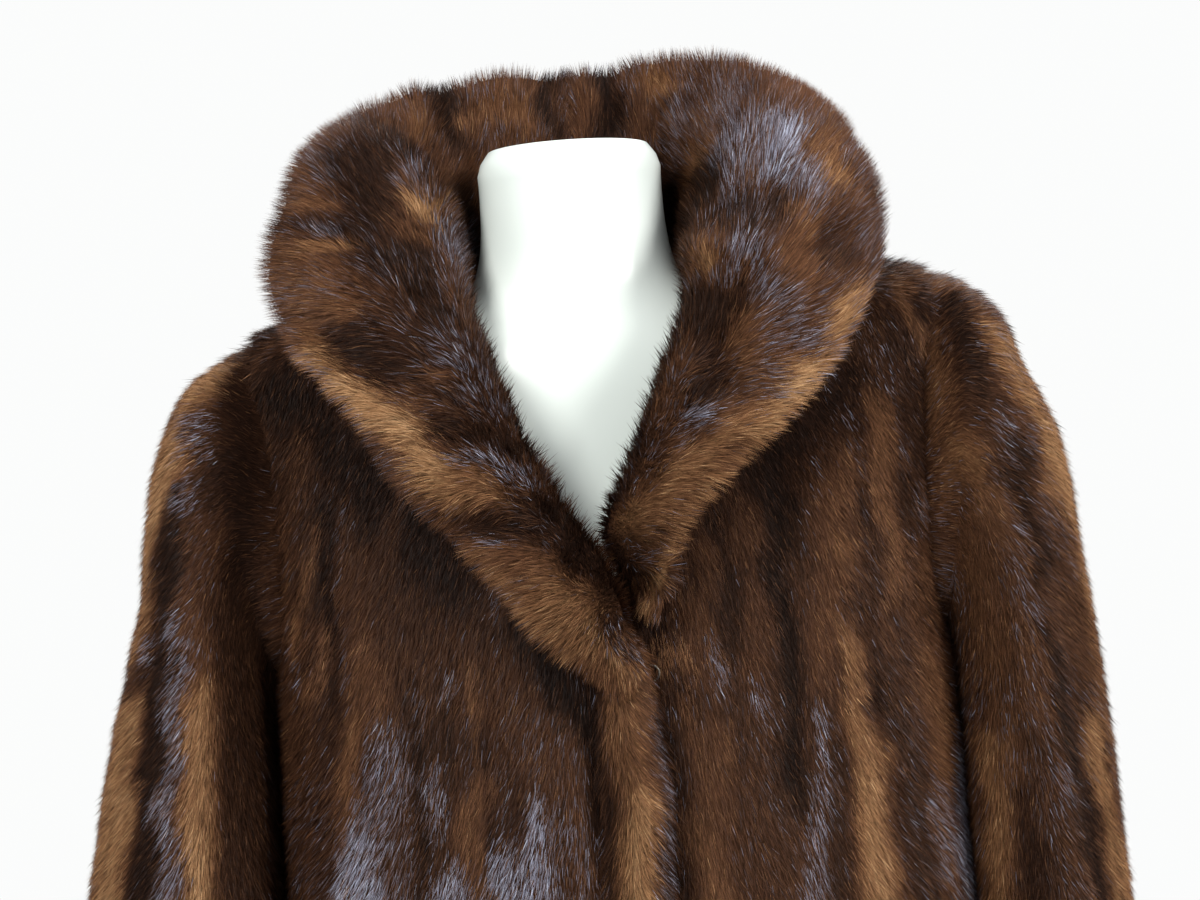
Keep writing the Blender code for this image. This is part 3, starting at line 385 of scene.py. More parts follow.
# Marks of the fur as seen from the front: a path over the plane y = 0 (x, z in
# metres), half width at its two ends (mm), tone and share of silver hairs. Beside
# the fur's own mottling they hold painted light: dark marks as painted shade in the
# collar's creases, below the collars' edges, in the armhole gaps and beside the band,
# golden marks as painted highlights on the sleeves' outer rims, and silver shares as
# painted sheen.
TONE_AND_LIGHT_MARKS = {
    "collar_right": (
        # painted shade in a crease of the collar
        (((-0.0097,1.5496), (-0.0087,1.5281), (-0.0073,1.5054)), 4.9, 6.1, 0.08, 0.0),
        (((-0.1671,1.4505), (-0.1761,1.4083)), 24.4, 25.6, 0.5, 0.05),
        (((-0.164,1.5114), (-0.1308,1.5324), (-0.0971,1.5422)), 13.4, 12.2, 0.42, 0.15),
        (((-0.1484,1.4993), (-0.1354,1.5094)), 8.5, 7.3, 0.36, 0.55),
        (((-0.1003,1.5315), (-0.0924,1.5126), (-0.0848,1.4906)), 9.8, 8.5, 0.46, 0.12),
        (((-0.075,1.5431), (-0.0699,1.5281), (-0.0662,1.5107)), 8.5, 8.5, 0.06, 0.0),
        (((-0.058,1.5236), (-0.0456,1.5264), (-0.0271,1.5276)), 8.5, 8.5, 0.6, 0.0),
        (((-0.0479,1.537), (-0.0202,1.5393)), 7.3, 7.3, 0.5, 0.1),
        (((-0.078,1.4993), (-0.0602,1.492)), 13.4, 12.2, 0.36, 0.05),
        (((-0.0662,1.4765), (-0.0628,1.4554)), 8.5, 6.1, 0.16, 0.0),
        (((-0.0923,1.5223), (-0.0892,1.5148)), 4.3, 4.3, 0.6, 0.0),
        (((-0.134,1.5032), (-0.1284,1.4784), (-0.1296,1.4613)), 14.6, 14.6, 0.13, 0.08),
        (((-0.1196,1.5083), (-0.1138,1.4774), (-0.1067,1.4573), (-0.0924,1.4343), (-0.0879,1.4113), (-0.0908,1.3871)), 13.4, 14.6, 0.13, 0.0),
        (((-0.1483,1.4565), (-0.1189,1.4398), (-0.095,1.432)), 12.2, 12.2, 0.16, 0.14),
        (((-0.1038,1.5158), (-0.096,1.5055), (-0.0886,1.4878)), 4.9, 4.3, 0.08, 0.0),
        (((-0.0999,1.5021), (-0.0913,1.4843)), 5.5, 5.5, 0.4, 0.55),
        (((-0.1038,1.4632), (-0.0887,1.4511)), 8.5, 6.1, 0.52, 0.0),
        (((-0.0954,1.4785), (-0.0885,1.4719), (-0.078,1.4651)), 5.5, 6.1, 0.95, 0.0),
        (((-0.0771,1.4601), (-0.072,1.4451), (-0.068,1.4326)), 7.9, 7.3, 0.4, 0.6),
        (((-0.0757,1.4282), (-0.0706,1.4132)), 8.5, 7.3, 0.45, 0.25),
        (((-0.164,1.4772), (-0.1448,1.4722)), 4.3, 4.9, 0.6, 0.0),
        (((-0.1842,1.4676), (-0.1659,1.4675), (-0.1405,1.4633)), 6.1, 6.7, 0.18, 0.12),
        (((-0.1553,1.4619), (-0.152,1.4556)), 4.3, 3.7, 0.3, 0.7),
        (((-0.162,1.4526), (-0.1414,1.4499)), 4.9, 5.5, 0.76, 0.0),
        (((-0.1807,1.43), (-0.1555,1.424)), 9.8, 9.8, 0.54, 0.18),
        (((-0.1454,1.4111), (-0.1357,1.4092)), 5.5, 5.5, 0.82, 0.0),
        (((-0.1711,1.3927), (-0.1605,1.3876)), 12.2, 12.2, 0.62, 0.0),
        (((-0.1395,1.3899), (-0.1194,1.3799)), 18.3, 17.1, 0.12, 0.0),
        (((-0.1185,1.4104), (-0.1072,1.3974)), 12.2, 12.2, 0.24, 0.1),
        (((-0.0946,1.3671), (-0.0745,1.3572)), 8.5, 8.5, 0.14, 0.0),
        (((-0.0945,1.3696), (-0.0798,1.3698)), 3.7, 3.7, 0.55, 0.0),
        (((-0.0832,1.3908), (-0.0688,1.369)), 10.4, 9.2, 0.34, 0.62),
        (((-0.064,1.3503), (-0.0526,1.3385)), 7.3, 7.3, 0.24, 0.35),
        (((-0.1683,1.3809), (-0.1523,1.3651), (-0.1336,1.3515), (-0.1152,1.3356), (-0.0973,1.3111), (-0.0849,1.2967)), 9.8, 9.2, 0.93, 0.0),
        (((-0.1535,1.3651), (-0.1454,1.3585)), 4.9, 4.9, 1.0, 0.0),
        (((-0.1175,1.3369), (-0.1118,1.3316)), 5.5, 5.5, 1.0, 0.0),
        (((-0.1028,1.3371), (-0.0959,1.3318)), 5.5, 4.9, 0.74, 0.0),
        (((-0.0894,1.3362), (-0.0415,1.3218)), 7.9, 7.9, 0.14, 0.0),
        (((-0.0787,1.3147), (-0.0577,1.3095), (-0.0357,1.2994)), 7.9, 7.9, 0.26, 0.6),
        (((-0.0881,1.3031), (-0.0617,1.2951), (-0.0402,1.2887)), 8.5, 8.5, 0.66, 0.0),
        (((-0.0691,1.2773), (-0.0282,1.2671)), 7.9, 8.5, 0.16, 0.0),
        (((-0.0762,1.2631), (-0.0596,1.2387), (-0.0418,1.213), (-0.0263,1.1899)), 4.9, 4.9, 0.76, 0.0),
        (((-0.0661,1.2673), (-0.0614,1.2645)), 3.1, 3.1, 0.5, 0.7),
        (((-0.062,1.256), (-0.0348,1.2431)), 8.5, 8.5, 0.54, 0.0),
        (((-0.0178,1.259), (-0.0006,1.2419), (0.008,1.2254)), 8.5, 7.3, 0.2, 0.0),
        (((-0.0265,1.2217), (-0.0011,1.2004), (0.0133,1.1871)), 15.9, 17.1, 0.72, 0.0),
        (((0.0071,1.212), (0.0224,1.1865)), 5.5, 6.1, 0.25, 0.35),
        (((-0.011,1.1815), (0.0065,1.1692), (0.0244,1.1619)), 6.7, 6.7, 0.5, 0.0),
        (((-0.0438,1.289), (-0.0212,1.2629)), 7.3, 7.3, 0.2, 0.15),
        (((-0.0286,1.2879), (-0.0038,1.2495)), 6.1, 6.1, 0.12, 0.0),
    ),
    "collar_left": (
        (((-0.0022,1.5338), (0.0285,1.5359)), 18.3, 18.3, 0.36, 0.1),
        (((-0.0509,1.5372), (-0.0263,1.5397), (-0.0069,1.5372)), 14.6, 13.4, 0.38, 0.12),
        # painted shade in a crease of the collar
        (((-0.0036,1.5492), (-0.0039,1.5278), (-0.003,1.5051)), 6.1, 7.3, 0.05, 0.0),
        (((0.0134,1.5394), (0.012,1.5101)), 5.5, 5.5, 0.44, 0.0),
        (((0.021,1.534), (0.0232,1.5302)), 4.3, 4.3, 0.62, 0.0),
        # painted shade in a crease of the collar
        (((0.0241,1.5435), (0.0288,1.5224), (0.0262,1.503)), 6.7, 7.3, 0.05, 0.0),
        (((0.0403,1.5473), (0.0552,1.5499), (0.0782,1.5471)), 7.9, 7.9, 0.46, 0.25),
        (((0.0554,1.5352), (0.0636,1.531)), 7.9, 7.3, 0.66, 0.0),
        (((0.0458,1.5212), (0.0508,1.5056)), 7.3, 7.3, 0.36, 0.0),
        (((0.0682,1.5258), (0.0765,1.5228)), 4.3, 3.7, 0.16, 0.0),
        (((0.0864,1.5416), (0.0833,1.5321), (0.0777,1.5227)), 4.3, 4.3, 0.14, 0.0),
        (((0.0907,1.534), (0.1008,1.5211)), 9.8, 9.2, 0.42, 0.4),
        (((0.0756,1.5192), (0.0644,1.5065), (0.0578,1.4996)), 5.5, 5.5, 0.42, 0.45),
        (((0.0962,1.5067), (0.0867,1.4939), (0.0758,1.4775), (0.0691,1.4695)), 6.1, 4.9, 0.66, 0.0),
        (((0.1076,1.5132), (0.0995,1.5016), (0.0897,1.4839), (0.0762,1.4653)), 4.9, 5.5, 0.08, 0.0),
        (((0.0583,1.4898), (0.059,1.4653), (0.0575,1.4434)), 7.3, 6.1, 0.1, 0.0),
        (((0.0637,1.4619), (0.0677,1.4494)), 5.5, 5.5, 0.14, 0.0),
        (((0.178,1.4875), (0.1856,1.4564), (0.1876,1.4318)), 9.8, 9.8, 0.42, 0.25),
        (((0.138,1.527), (0.161,1.5071)), 12.2, 12.2, 0.44, 0.15),
        (((0.1069,1.5023), (0.1358,1.4966), (0.148,1.4786)), 15.9, 14.6, 0.42, 0.66),
        (((0.1339,1.5041), (0.138,1.4928)), 6.1, 6.1, 0.4, 1.0),
        (((0.1216,1.4854), (0.1284,1.4775)), 6.7, 6.7, 0.4, 0.95),
        (((0.0986,1.4882), (0.101,1.4709)), 7.3, 7.3, 0.34, 0.6),
        (((0.1528,1.4942), (0.1634,1.4885)), 7.3, 7.3, 0.6, 0.0),
        (((0.16,1.4753), (0.168,1.4662)), 7.3, 6.7, 0.78, 0.0),
        (((0.0929,1.4592), (0.1232,1.4559)), 8.5, 9.8, 0.13, 0.1),
        (((0.1365,1.4537), (0.1457,1.4457)), 7.3, 7.3, 0.62, 0.0),
        (((0.1036,1.4377), (0.1139,1.4272)), 7.3, 7.3, 0.36, 0.85),
        (((0.1494,1.4284), (0.1662,1.4235)), 9.8, 9.2, 0.22, 0.0),
        (((0.076,1.4286), (0.084,1.4207)), 6.1, 5.5, 0.8, 0.0),
        (((0.0841,1.4219), (0.0974,1.4198)), 3.1, 3.1, 0.5, 0.8),
        (((0.1377,1.4353), (0.1355,1.4049)), 8.5, 9.8, 0.52, 0.0),
        (((0.0821,1.4098), (0.0969,1.3941)), 10.4, 10.4, 0.13, 0.0),
        (((0.0742,1.403), (0.0762,1.3784), (0.0806,1.3537)), 9.2, 9.2, 0.14, 0.0),
        (((0.1163,1.4099), (0.1289,1.3968)), 9.8, 9.8, 0.34, 0.55),
        (((0.1282,1.387), (0.1454,1.3705)), 13.4, 12.2, 0.38, 0.42),
        (((0.0977,1.3879), (0.1057,1.3629)), 8.5, 8.5, 0.56, 0.0),
        (((0.1746,1.4034), (0.1683,1.3842), (0.1585,1.3666), (0.143,1.3542), (0.126,1.3383), (0.1104,1.3247)), 9.2, 9.2, 0.9, 0.0),
        (((0.1506,1.3586), (0.1311,1.3416)), 6.7, 7.3, 1.0, 0.0),
        (((0.1168,1.3475), (0.1202,1.3423)), 4.3, 3.7, 0.6, 0.75),
        (((0.114,1.3599), (0.1174,1.3548)), 3.7, 3.1, 0.5, 0.7),
        (((0.0669,1.351), (0.0775,1.3441)), 5.5, 5.5, 0.1, 0.0),
        (((0.0636,1.3377), (0.0717,1.3323)), 6.7, 6.1, 0.28, 0.75),
        (((0.0931,1.3222), (0.0802,1.3133), (0.0609,1.3)), 10.4, 10.4, 0.72, 0.0),
        (((0.067,1.2996), (0.0444,1.2828), (0.0284,1.2717)), 10.4, 11.0, 0.66, 0.0),
        (((0.0924,1.3125), (0.0819,1.3022)), 3.1, 3.1, 0.38, 0.0),
        (((0.1062,1.3176), (0.1017,1.3057), (0.0797,1.2889), (0.0588,1.2696), (0.0402,1.2488), (0.0263,1.2241), (0.0216,1.2098)), 4.9, 3.7, 0.82, 0.0),
        (((0.0355,1.3213), (0.019,1.2956), (0.0048,1.2672)), 4.9, 4.9, 0.2, 0.15),
        (((0.0151,1.2573), (0.0156,1.2298)), 7.3, 7.3, 0.18, 0.0),
        (((0.0295,1.2533), (0.0329,1.2494)), 3.1, 3.1, 0.5, 0.6),
    ),
    "sleeve_right": (
        # painted shade in the armhole gap
        (((-0.2079,1.3922), (-0.2133,1.3498), (-0.2191,1.3012)), 13.4, 14.6, 0.14, 0.0),
        # painted highlight along the sleeve's outer rim
        (((-0.2166,1.3891), (-0.2349,1.3733), (-0.2508,1.3463), (-0.2642,1.3117), (-0.2723,1.2842), (-0.2784,1.2577), (-0.2819,1.2432)), 7.3, 7.9, 0.86, 0.0),
        (((-0.2665,1.3058), (-0.2699,1.2925)), 4.3, 4.3, 0.92, 0.0),
        (((-0.2267,1.3507), (-0.2239,1.3383)), 8.5, 7.3, 0.26, 0.0),
        (((-0.2414,1.3493), (-0.2391,1.3295)), 8.5, 7.9, 0.32, 0.55),
        (((-0.248,1.3081), (-0.2452,1.2957)), 6.7, 6.7, 0.34, 0.68),
        (((-0.254,1.3098), (-0.2571,1.2831), (-0.2619,1.2492), (-0.2654,1.2421)), 4.3, 5.5, 0.08, 0.0),
        (((-0.2425,1.2821), (-0.2477,1.2421)), 8.5, 8.5, 0.34, 0.1),
        # painted shade in the armhole gap
        (((-0.2101,1.3251), (-0.2133,1.28), (-0.2185,1.24)), 6.1, 9.8, 0.12, 0.0),
        (((-0.2818,1.2445), (-0.2876,1.2143)), 8.5, 8.5, 0.7, 0.0),
        (((-0.2838,1.1981), (-0.2894,1.1875)), 7.3, 7.3, 0.32, 0.0),
        (((-0.2778,1.2136), (-0.2769,1.2099)), 4.3, 3.7, 0.5, 0.8),
        (((-0.2933,1.1768), (-0.2979,1.1361), (-0.3035,1.1096), (-0.3136,1.0601)), 8.5, 9.8, 0.84, 0.0),
        (((-0.2654,1.2433), (-0.2682,1.2025), (-0.2765,1.1621), (-0.2812,1.1215), (-0.2929,1.0587)), 5.5, 6.7, 0.07, 0.0),
        (((-0.2584,1.2294), (-0.26,1.1885), (-0.2636,1.1545), (-0.2703,1.1207), (-0.2765,1.0575)), 5.5, 7.3, 0.34, 0.66),
        (((-0.2462,1.2285), (-0.2471,1.1809)), 8.5, 9.2, 0.46, 0.1),
        (((-0.2471,1.1809), (-0.2501,1.1468), (-0.2514,1.1194), (-0.2576,1.0562)), 9.8, 11.0, 0.8, 0.0),
        (((-0.2596,1.09), (-0.2583,1.0563)), 4.9, 5.5, 0.92, 0.0),
        (((-0.2209,1.2402), (-0.2227,1.1718), (-0.2272,1.0541)), 12.2, 14.6, 0.22, 0.0),
        (((-0.1983,1.3365), (-0.2094,1.2822), (-0.2108,1.2273), (-0.2045,1.1779), (-0.207,1.1163), (-0.2083,1.0528)), 2.4, 2.4, 0.16, 0.0),
    ),
    "front_right": (
        # painted shade below the collar's edge
        (((-0.1819,1.3604), (-0.1569,1.3336), (-0.1333,1.3044), (-0.1113,1.2692), (-0.0903,1.2372)), 18.3, 15.9, 0.06, 0.0),
        (((-0.2013,1.3367), (-0.2022,1.3153)), 4.9, 4.9, 0.36, 0.0),
        (((-0.1972,1.2997), (-0.2023,1.2267)), 7.3, 8.5, 0.26, 0.0),
        (((-0.1729,1.3322), (-0.1792,1.3119)), 6.7, 6.1, 0.32, 0.0),
        (((-0.1668,1.2792), (-0.1769,1.2573), (-0.1824,1.2308), (-0.1868,1.2036)), 4.9, 4.9, 0.62, 0.0),
        (((-0.1591,1.294), (-0.1669,1.2609), (-0.1714,1.2306)), 4.3, 4.3, 0.08, 0.0),
        (((-0.145,1.2593), (-0.1487,1.2229)), 8.5, 8.5, 0.36, 0.0),
        (((-0.1214,1.2907), (-0.1329,1.2402)), 4.9, 9.8, 0.3, 0.0),
        (((-0.115,1.2328), (-0.1115,1.1958)), 15.9, 15.9, 0.3, 0.0),
        (((-0.1625,1.2361), (-0.1646,1.1886), (-0.1623,1.1596)), 3.7, 3.1, 0.1, 0.0),
        (((-0.1709,1.2122), (-0.1725,1.1891), (-0.1839,1.1752)), 5.5, 5.5, 0.58, 0.0),
        (((-0.1904,1.1696), (-0.1925,1.122)), 8.5, 11.0, 0.3, 0.0),
        (((-0.1427,1.2041), (-0.1433,1.1614)), 13.4, 13.4, 0.5, 0.0),
        (((-0.155,1.1512), (-0.1592,1.1264), (-0.1639,1.0931)), 6.7, 6.1, 0.62, 0.0),
        (((-0.1384,1.1525), (-0.1336,1.1246), (-0.1476,1.0987), (-0.1572,1.0492)), 9.8, 20.7, 0.4, 0.55),
        (((-0.1583,1.086), (-0.1597,1.0494)), 9.8, 14.6, 0.46, 0.95),
        (((-0.1893,1.1157), (-0.1877,1.0513)), 11.0, 9.8, 0.26, 0.12),
        (((-0.1149,1.1472), (-0.1168,1.1106), (-0.1231,1.0468)), 4.3, 4.9, 0.12, 0.0),
        (((-0.1276,1.1052), (-0.129,1.0686)), 5.5, 5.5, 0.3, 0.3),
        (((-0.0932,1.1946), (-0.0645,1.1681)), 24.4, 24.4, 0.38, 0.06),
        (((-0.0419,1.142), (-0.0318,1.1108)), 22.0, 22.0, 0.38, 0.12),
        (((-0.0808,1.1888), (-0.0804,1.1594)), 3.7, 3.7, 0.6, 0.0),
        (((-0.0941,1.1824), (-0.092,1.1774)), 3.1, 3.1, 0.5, 0.8),
        (((-0.1105,1.1224), (-0.1064,1.094)), 5.5, 6.1, 0.36, 0.55),
        (((-0.0781,1.114), (-0.0938,1.0809), (-0.0863,1.0669)), 7.9, 8.5, 0.56, 0.0),
        (((-0.0478,1.1009), (-0.0496,1.0753), (-0.0513,1.0418)), 8.5, 12.2, 0.44, 0.9),
        (((-0.069,1.0693), (-0.072,1.0432)), 6.7, 9.8, 0.44, 0.92),
        (((-0.1028,1.0582), (-0.1,1.0452)), 11.0, 13.4, 0.42, 0.85),
        (((-0.0252,1.092), (-0.023,1.0612)), 11.0, 9.8, 0.38, 0.32),
        # painted shadow along the band's left edge
        (((-0.0492,1.2117), (-0.0383,1.1932), (-0.0251,1.1721), (-0.013,1.1523), (-0.0074,1.1274), (-0.0045,1.0997), (-0.0038,1.066), (-0.0032,1.0384)), 9.8, 6.1, 0.02, 0.0),
    ),
    "front_band": (
        (((0.0187,1.1684), (0.0126,1.0373)), 15.9, 16.5, 0.5, 0.0),
        (((0.0075,1.1655), (0.0117,1.1383)), 9.8, 8.5, 0.66, 0.0),
        (((0.0102,1.169), (0.0136,1.1308), (0.015,1.0977)), 7.9, 8.5, 0.6, 0.0),
        (((0.0112,1.123), (0.0108,1.1078)), 7.3, 7.3, 0.55, 0.0),
        (((0.0168,1.0976), (0.0155,1.0708), (0.0138,1.0372)), 10.4, 11.0, 0.9, 0.0),
        # painted shade on the band's side that turns away, with painted sheen as silver hairs
        (((0.0353,1.1611), (0.0335,1.1001), (0.0315,1.036)), 4.9, 5.5, 0.16, 0.35),
    ),
    "front_left": (
        # this and the next: painted shade below the collar's edge
        (((0.117,1.3144), (0.0892,1.2674), (0.0615,1.2204)), 15.9, 13.4, 0.1, 0.0),
        (((0.163,1.351), (0.1426,1.331), (0.1226,1.3079)), 9.8, 9.8, 0.05, 0.0),
        (((0.1128,1.2903), (0.1099,1.2476), (0.1102,1.217), (0.1141,1.1862), (0.1132,1.1557), (0.1129,1.1165), (0.1166,1.082)), 8.5, 4.3, 0.05, 0.0),
        (((0.0897,1.2735), (0.0903,1.2478)), 8.5, 8.5, 0.38, 0.0),
        (((0.0667,1.2507), (0.0608,1.2113)), 9.2, 8.5, 0.44, 0.0),
        # this and the next: painted shade in the gap beside the band, by the hook
        (((0.0317,1.2225), (0.0306,1.1981)), 6.1, 4.9, 0.03, 0.0),
        (((0.0281,1.18), (0.028,1.1616)), 4.9, 3.7, 0.05, 0.0),
        (((0.0336,1.1894), (0.0493,1.1858)), 6.7, 7.3, 0.78, 0.0),
        (((0.0549,1.2136), (0.0671,1.1956)), 8.5, 7.3, 0.45, 0.0),
        (((0.0799,1.213), (0.079,1.1917)), 5.5, 5.5, 0.16, 0.0),
        (((0.0687,1.1845), (0.0713,1.1684)), 6.1, 5.5, 0.44, 0.5),
        (((0.0514,1.1551), (0.0514,1.1465)), 4.3, 4.3, 0.66, 0.0),
        (((0.058,1.1351), (0.0578,1.08), (0.0582,1.0341)), 14.6, 15.9, 0.44, 0.0),
        (((0.0719,1.1329), (0.0719,1.1243)), 3.1, 3.1, 0.64, 0.0),
        (((0.0575,1.0678), (0.0564,1.0434)), 7.3, 7.3, 0.56, 0.0),
        (((0.0393,1.1486), (0.0339,1.0358)), 5.5, 5.5, 0.16, 0.1),
        (((0.0909,1.1597), (0.0908,1.1499)), 5.5, 4.9, 0.42, 0.55),
        (((0.0943,1.2181), (0.095,1.1753)), 8.5, 8.5, 0.36, 0.0),
        (((0.0896,1.1329), (0.0862,1.0322)), 9.8, 11.0, 0.32, 0.08),
        (((0.1494,1.2877), (0.1472,1.2389), (0.1373,1.2029)), 13.4, 12.2, 0.45, 0.0),
        (((0.183,1.3312), (0.1728,1.3075), (0.1755,1.2859), (0.1791,1.2581), (0.1821,1.2316), (0.1836,1.218)), 5.5, 6.1, 0.58, 0.0),
        (((0.193,1.3342), (0.196,1.2985), (0.1919,1.2572)), 4.9, 5.5, 0.2, 0.0),
        (((0.165,1.2756), (0.1671,1.262)), 3.7, 3.7, 0.15, 0.0),
        (((0.1516,1.2417), (0.1469,1.2353)), 3.7, 3.7, 0.62, 0.0),
        (((0.1959,1.411), (0.2015,1.3941), (0.2075,1.3754), (0.2129,1.3566), (0.2151,1.3351), (0.2117,1.3047), (0.2126,1.2821)), 4.3, 5.5, 0.58, 0.0),
        (((0.2088,1.3949), (0.2107,1.3862)), 4.9, 4.9, 0.12, 0.0),
        (((0.2056,1.2703), (0.2115,1.2583)), 4.9, 4.9, 0.42, 0.4),
        (((0.1959,1.2355), (0.1937,1.1867)), 8.5, 8.5, 0.4, 0.0),
        (((0.1306,1.1936), (0.1311,1.1666)), 8.5, 7.3, 0.45, 0.0),
        (((0.1318,1.1421), (0.1284,1.1106), (0.1213,1.0615), (0.1179,1.03)), 4.3, 5.5, 0.38, 0.6),
        (((0.1407,1.1293), (0.1385,1.0805)), 4.9, 4.9, 0.2, 0.1),
        (((0.1512,1.1922), (0.1516,1.153), (0.1555,1.1215), (0.1563,1.0976), (0.1589,1.0742), (0.1605,1.027)), 4.9, 13.4, 0.76, 0.0),
        (((0.1562,1.1062), (0.1591,1.0424)), 4.9, 5.5, 0.86, 0.0),
        (((0.1737,1.2077), (0.1742,1.1881)), 4.9, 4.9, 0.44, 0.0),
        (((0.1649,1.1692), (0.1685,1.1506)), 4.3, 4.3, 0.14, 0.0),
        (((0.1766,1.1353), (0.1805,1.1039), (0.1818,1.0255)), 6.7, 7.3, 0.24, 0.1),
        (((0.1985,1.1772), (0.2016,1.1336), (0.2028,1.1066)), 8.5, 8.5, 0.54, 0.0),
        (((0.2153,1.1283), (0.2146,1.1015), (0.2143,1.0624), (0.214,1.0232)), 4.3, 7.9, 0.36, 0.88),
        (((0.221,1.3322), (0.218,1.2902), (0.2187,1.2553), (0.2191,1.2272), (0.2222,1.2092), (0.2206,1.1873), (0.2192,1.1403), (0.2189,1.1012)), 2.4, 2.4, 0.14, 0.0),
        (((0.2003,1.0884), (0.2017,1.0394)), 5.5, 6.1, 0.48, 0.4),
        (((0.2006,1.4174), (0.2065,1.4134), (0.2123,1.4087)), 4.3, 4.3, 0.58, 0.0),
        (((0.1726,1.3399), (0.1778,1.3102), (0.1802,1.2733)), 3.7, 4.3, 0.54, 0.0),
        (((0.1516,1.3028), (0.157,1.2749)), 4.3, 4.3, 0.52, 0.0),
    ),
    "sleeve_left": (
        (((0.2043,1.4172), (0.2238,1.4079), (0.242,1.3968), (0.2566,1.3781)), 5.5, 6.1, 0.46, 0.3),
        (((0.2037,1.4093), (0.2193,1.4039)), 4.9, 4.9, 0.62, 0.0),
        (((0.2295,1.3922), (0.2303,1.3787)), 7.3, 7.3, 0.2, 0.0),
        (((0.2417,1.384), (0.2463,1.3788)), 5.5, 5.5, 0.48, 0.0),
        (((0.2573,1.3701), (0.261,1.3625)), 5.5, 5.5, 0.7, 0.1),
        (((0.2475,1.361), (0.2598,1.3625)), 2.1, 2.1, 0.5, 1.0),
        (((0.2377,1.361), (0.2439,1.3453), (0.2502,1.3296)), 7.9, 7.3, 0.24, 0.0),
        (((0.2239,1.3559), (0.2323,1.3186)), 7.3, 7.3, 0.28, 0.0),
        # painted highlight along the sleeve's outer rim
        (((0.264,1.3531), (0.2758,1.3296), (0.2848,1.2996), (0.2912,1.2778), (0.2984,1.2498), (0.3013,1.2214), (0.3031,1.1944)), 7.9, 8.5, 0.86, 0.0),
        (((0.2344,1.3062), (0.2368,1.2963)), 6.7, 6.7, 0.64, 0.0),
        (((0.2451,1.2749), (0.2487,1.2563)), 7.3, 7.3, 0.52, 0.0),
        (((0.2535,1.3159), (0.2578,1.2985)), 7.3, 6.7, 0.32, 0.35),
        (((0.2605,1.2677), (0.2604,1.231)), 6.1, 7.3, 0.36, 0.25),
        (((0.2594,1.3045), (0.2619,1.2872), (0.2666,1.2587), (0.2701,1.2303), (0.2718,1.1837), (0.2768,1.1424), (0.2827,1.1126), (0.2866,1.0812), (0.2918,1.0417), (0.2944,1.0176)), 4.3, 4.9, 0.09, 0.0),
        (((0.2636,1.2155), (0.2686,1.1992)), 5.5, 4.9, 0.38, 0.42),
        (((0.2323,1.2574), (0.2349,1.2083), (0.2415,1.1712)), 11.0, 12.2, 0.44, 0.0),
        (((0.2602,1.176), (0.2633,1.1329)), 8.5, 8.5, 0.44, 0.12),
        (((0.2321,1.1235), (0.2324,1.0849), (0.2305,1.0221)), 6.7, 7.9, 0.68, 0.0),
        (((0.2514,1.0848), (0.2518,1.0206)), 7.9, 8.5, 0.18, 0.0),
        (((0.2754,1.0954), (0.2761,1.088)), 4.9, 4.3, 0.38, 0.55),
        (((0.2704,1.0591), (0.2737,1.0191)), 7.3, 7.9, 0.3, 0.1),
        (((0.2871,1.2108), (0.289,1.1678)), 7.3, 7.3, 0.36, 0.0),
        (((0.2967,1.1294), (0.2981,1.0877), (0.3021,1.0489), (0.3053,1.0169)), 6.1, 6.7, 0.76, 0.0),
        (((0.3029,1.1913), (0.3048,1.1484)), 6.7, 6.7, 0.58, 0.0),
        (((0.2117,1.3751), (0.2145,1.3443), (0.2144,1.3076), (0.2136,1.271)), 4.3, 4.9, 0.6, 0.0),
        (((0.2276,1.3923), (0.2357,1.3673), (0.2411,1.3394)), 7.3, 7.9, 0.12, 0.0),
        (((0.2485,1.3756), (0.2595,1.3583), (0.2729,1.3402), (0.2812,1.3182)), 5.5, 6.1, 0.78, 0.18),
        (((0.2281,1.3115), (0.2313,1.2881), (0.2331,1.2696)), 5.5, 6.1, 0.62, 0.0),
        (((0.2005,1.4156), (0.2185,1.4101), (0.2333,1.4029), (0.2477,1.3909)), 4.3, 4.3, 0.54, 0.12),
    ),
}


def view_plane(points):
    """Where points seen from the eye cross the plane y = 0: x and z."""
    s = -EYE[1] / (points[..., 1] - EYE[1])
    return np.stack([EYE[0] + (points[..., 0] - EYE[0]) * s, EYE[2] + (points[..., 2] - EYE[2]) * s], -1)


def waves(seed, points, scale, octaves=3):
    """Smooth noise, mostly from -1 to 1."""
    rng = np.random.default_rng(seed)
    total, size, whole = np.zeros(points.shape[:-1]), 1.0, 0.0
    for _ in range(octaves):
        for _ in range(4):
            way = rng.normal(size=points.shape[-1])
            way /= np.linalg.norm(way)
            total += size * np.sin(points @ way * (2 * math.pi / scale) + rng.uniform(0, 2 * math.pi))
        whole += size
        scale, size = scale / 1.9, size * 0.55
    return total / (2.0 * whole)


# ---------------------------------------------------------------- fine skins
def fine(first, last, count):
    return np.linspace(first, last, count)


def arm_steps(rows):
    """Armhole steps and sleeve angles at rows counted as in the solids."""
    coarse = np.asarray(ARMHOLE_STEPS)
    turn = coarse * math.pi
    turn[1] = math.pi * 0.03
    index = np.arange(len(coarse))
    return np.interp(rows, index, coarse), np.interp(rows, index, turn)


def armhole_at(side, behind, steps):
    top_x = CENTRE_X + side * BODY["half"][-1] * math.sin(math.radians(ARMHOLE["front_angle"][0]))
    top = ridge(top_x)
    fall = smooth(ARMHOLE["step"], ARMHOLE["drop"], steps)
    z = top - fall * (top - UNDERARM_Z) / ARMHOLE["drop"][-1]
    angle = np.radians(smooth(ARMHOLE["step"], ARMHOLE["back_angle" if behind else "front_angle"], steps)) * side
    x = CENTRE_X + smooth(BODY["z"], BODY["half"], z) * np.sin(angle)
    drop = place(x, z, behind)[1]
    drop[0] = -1.0
    return angle, drop


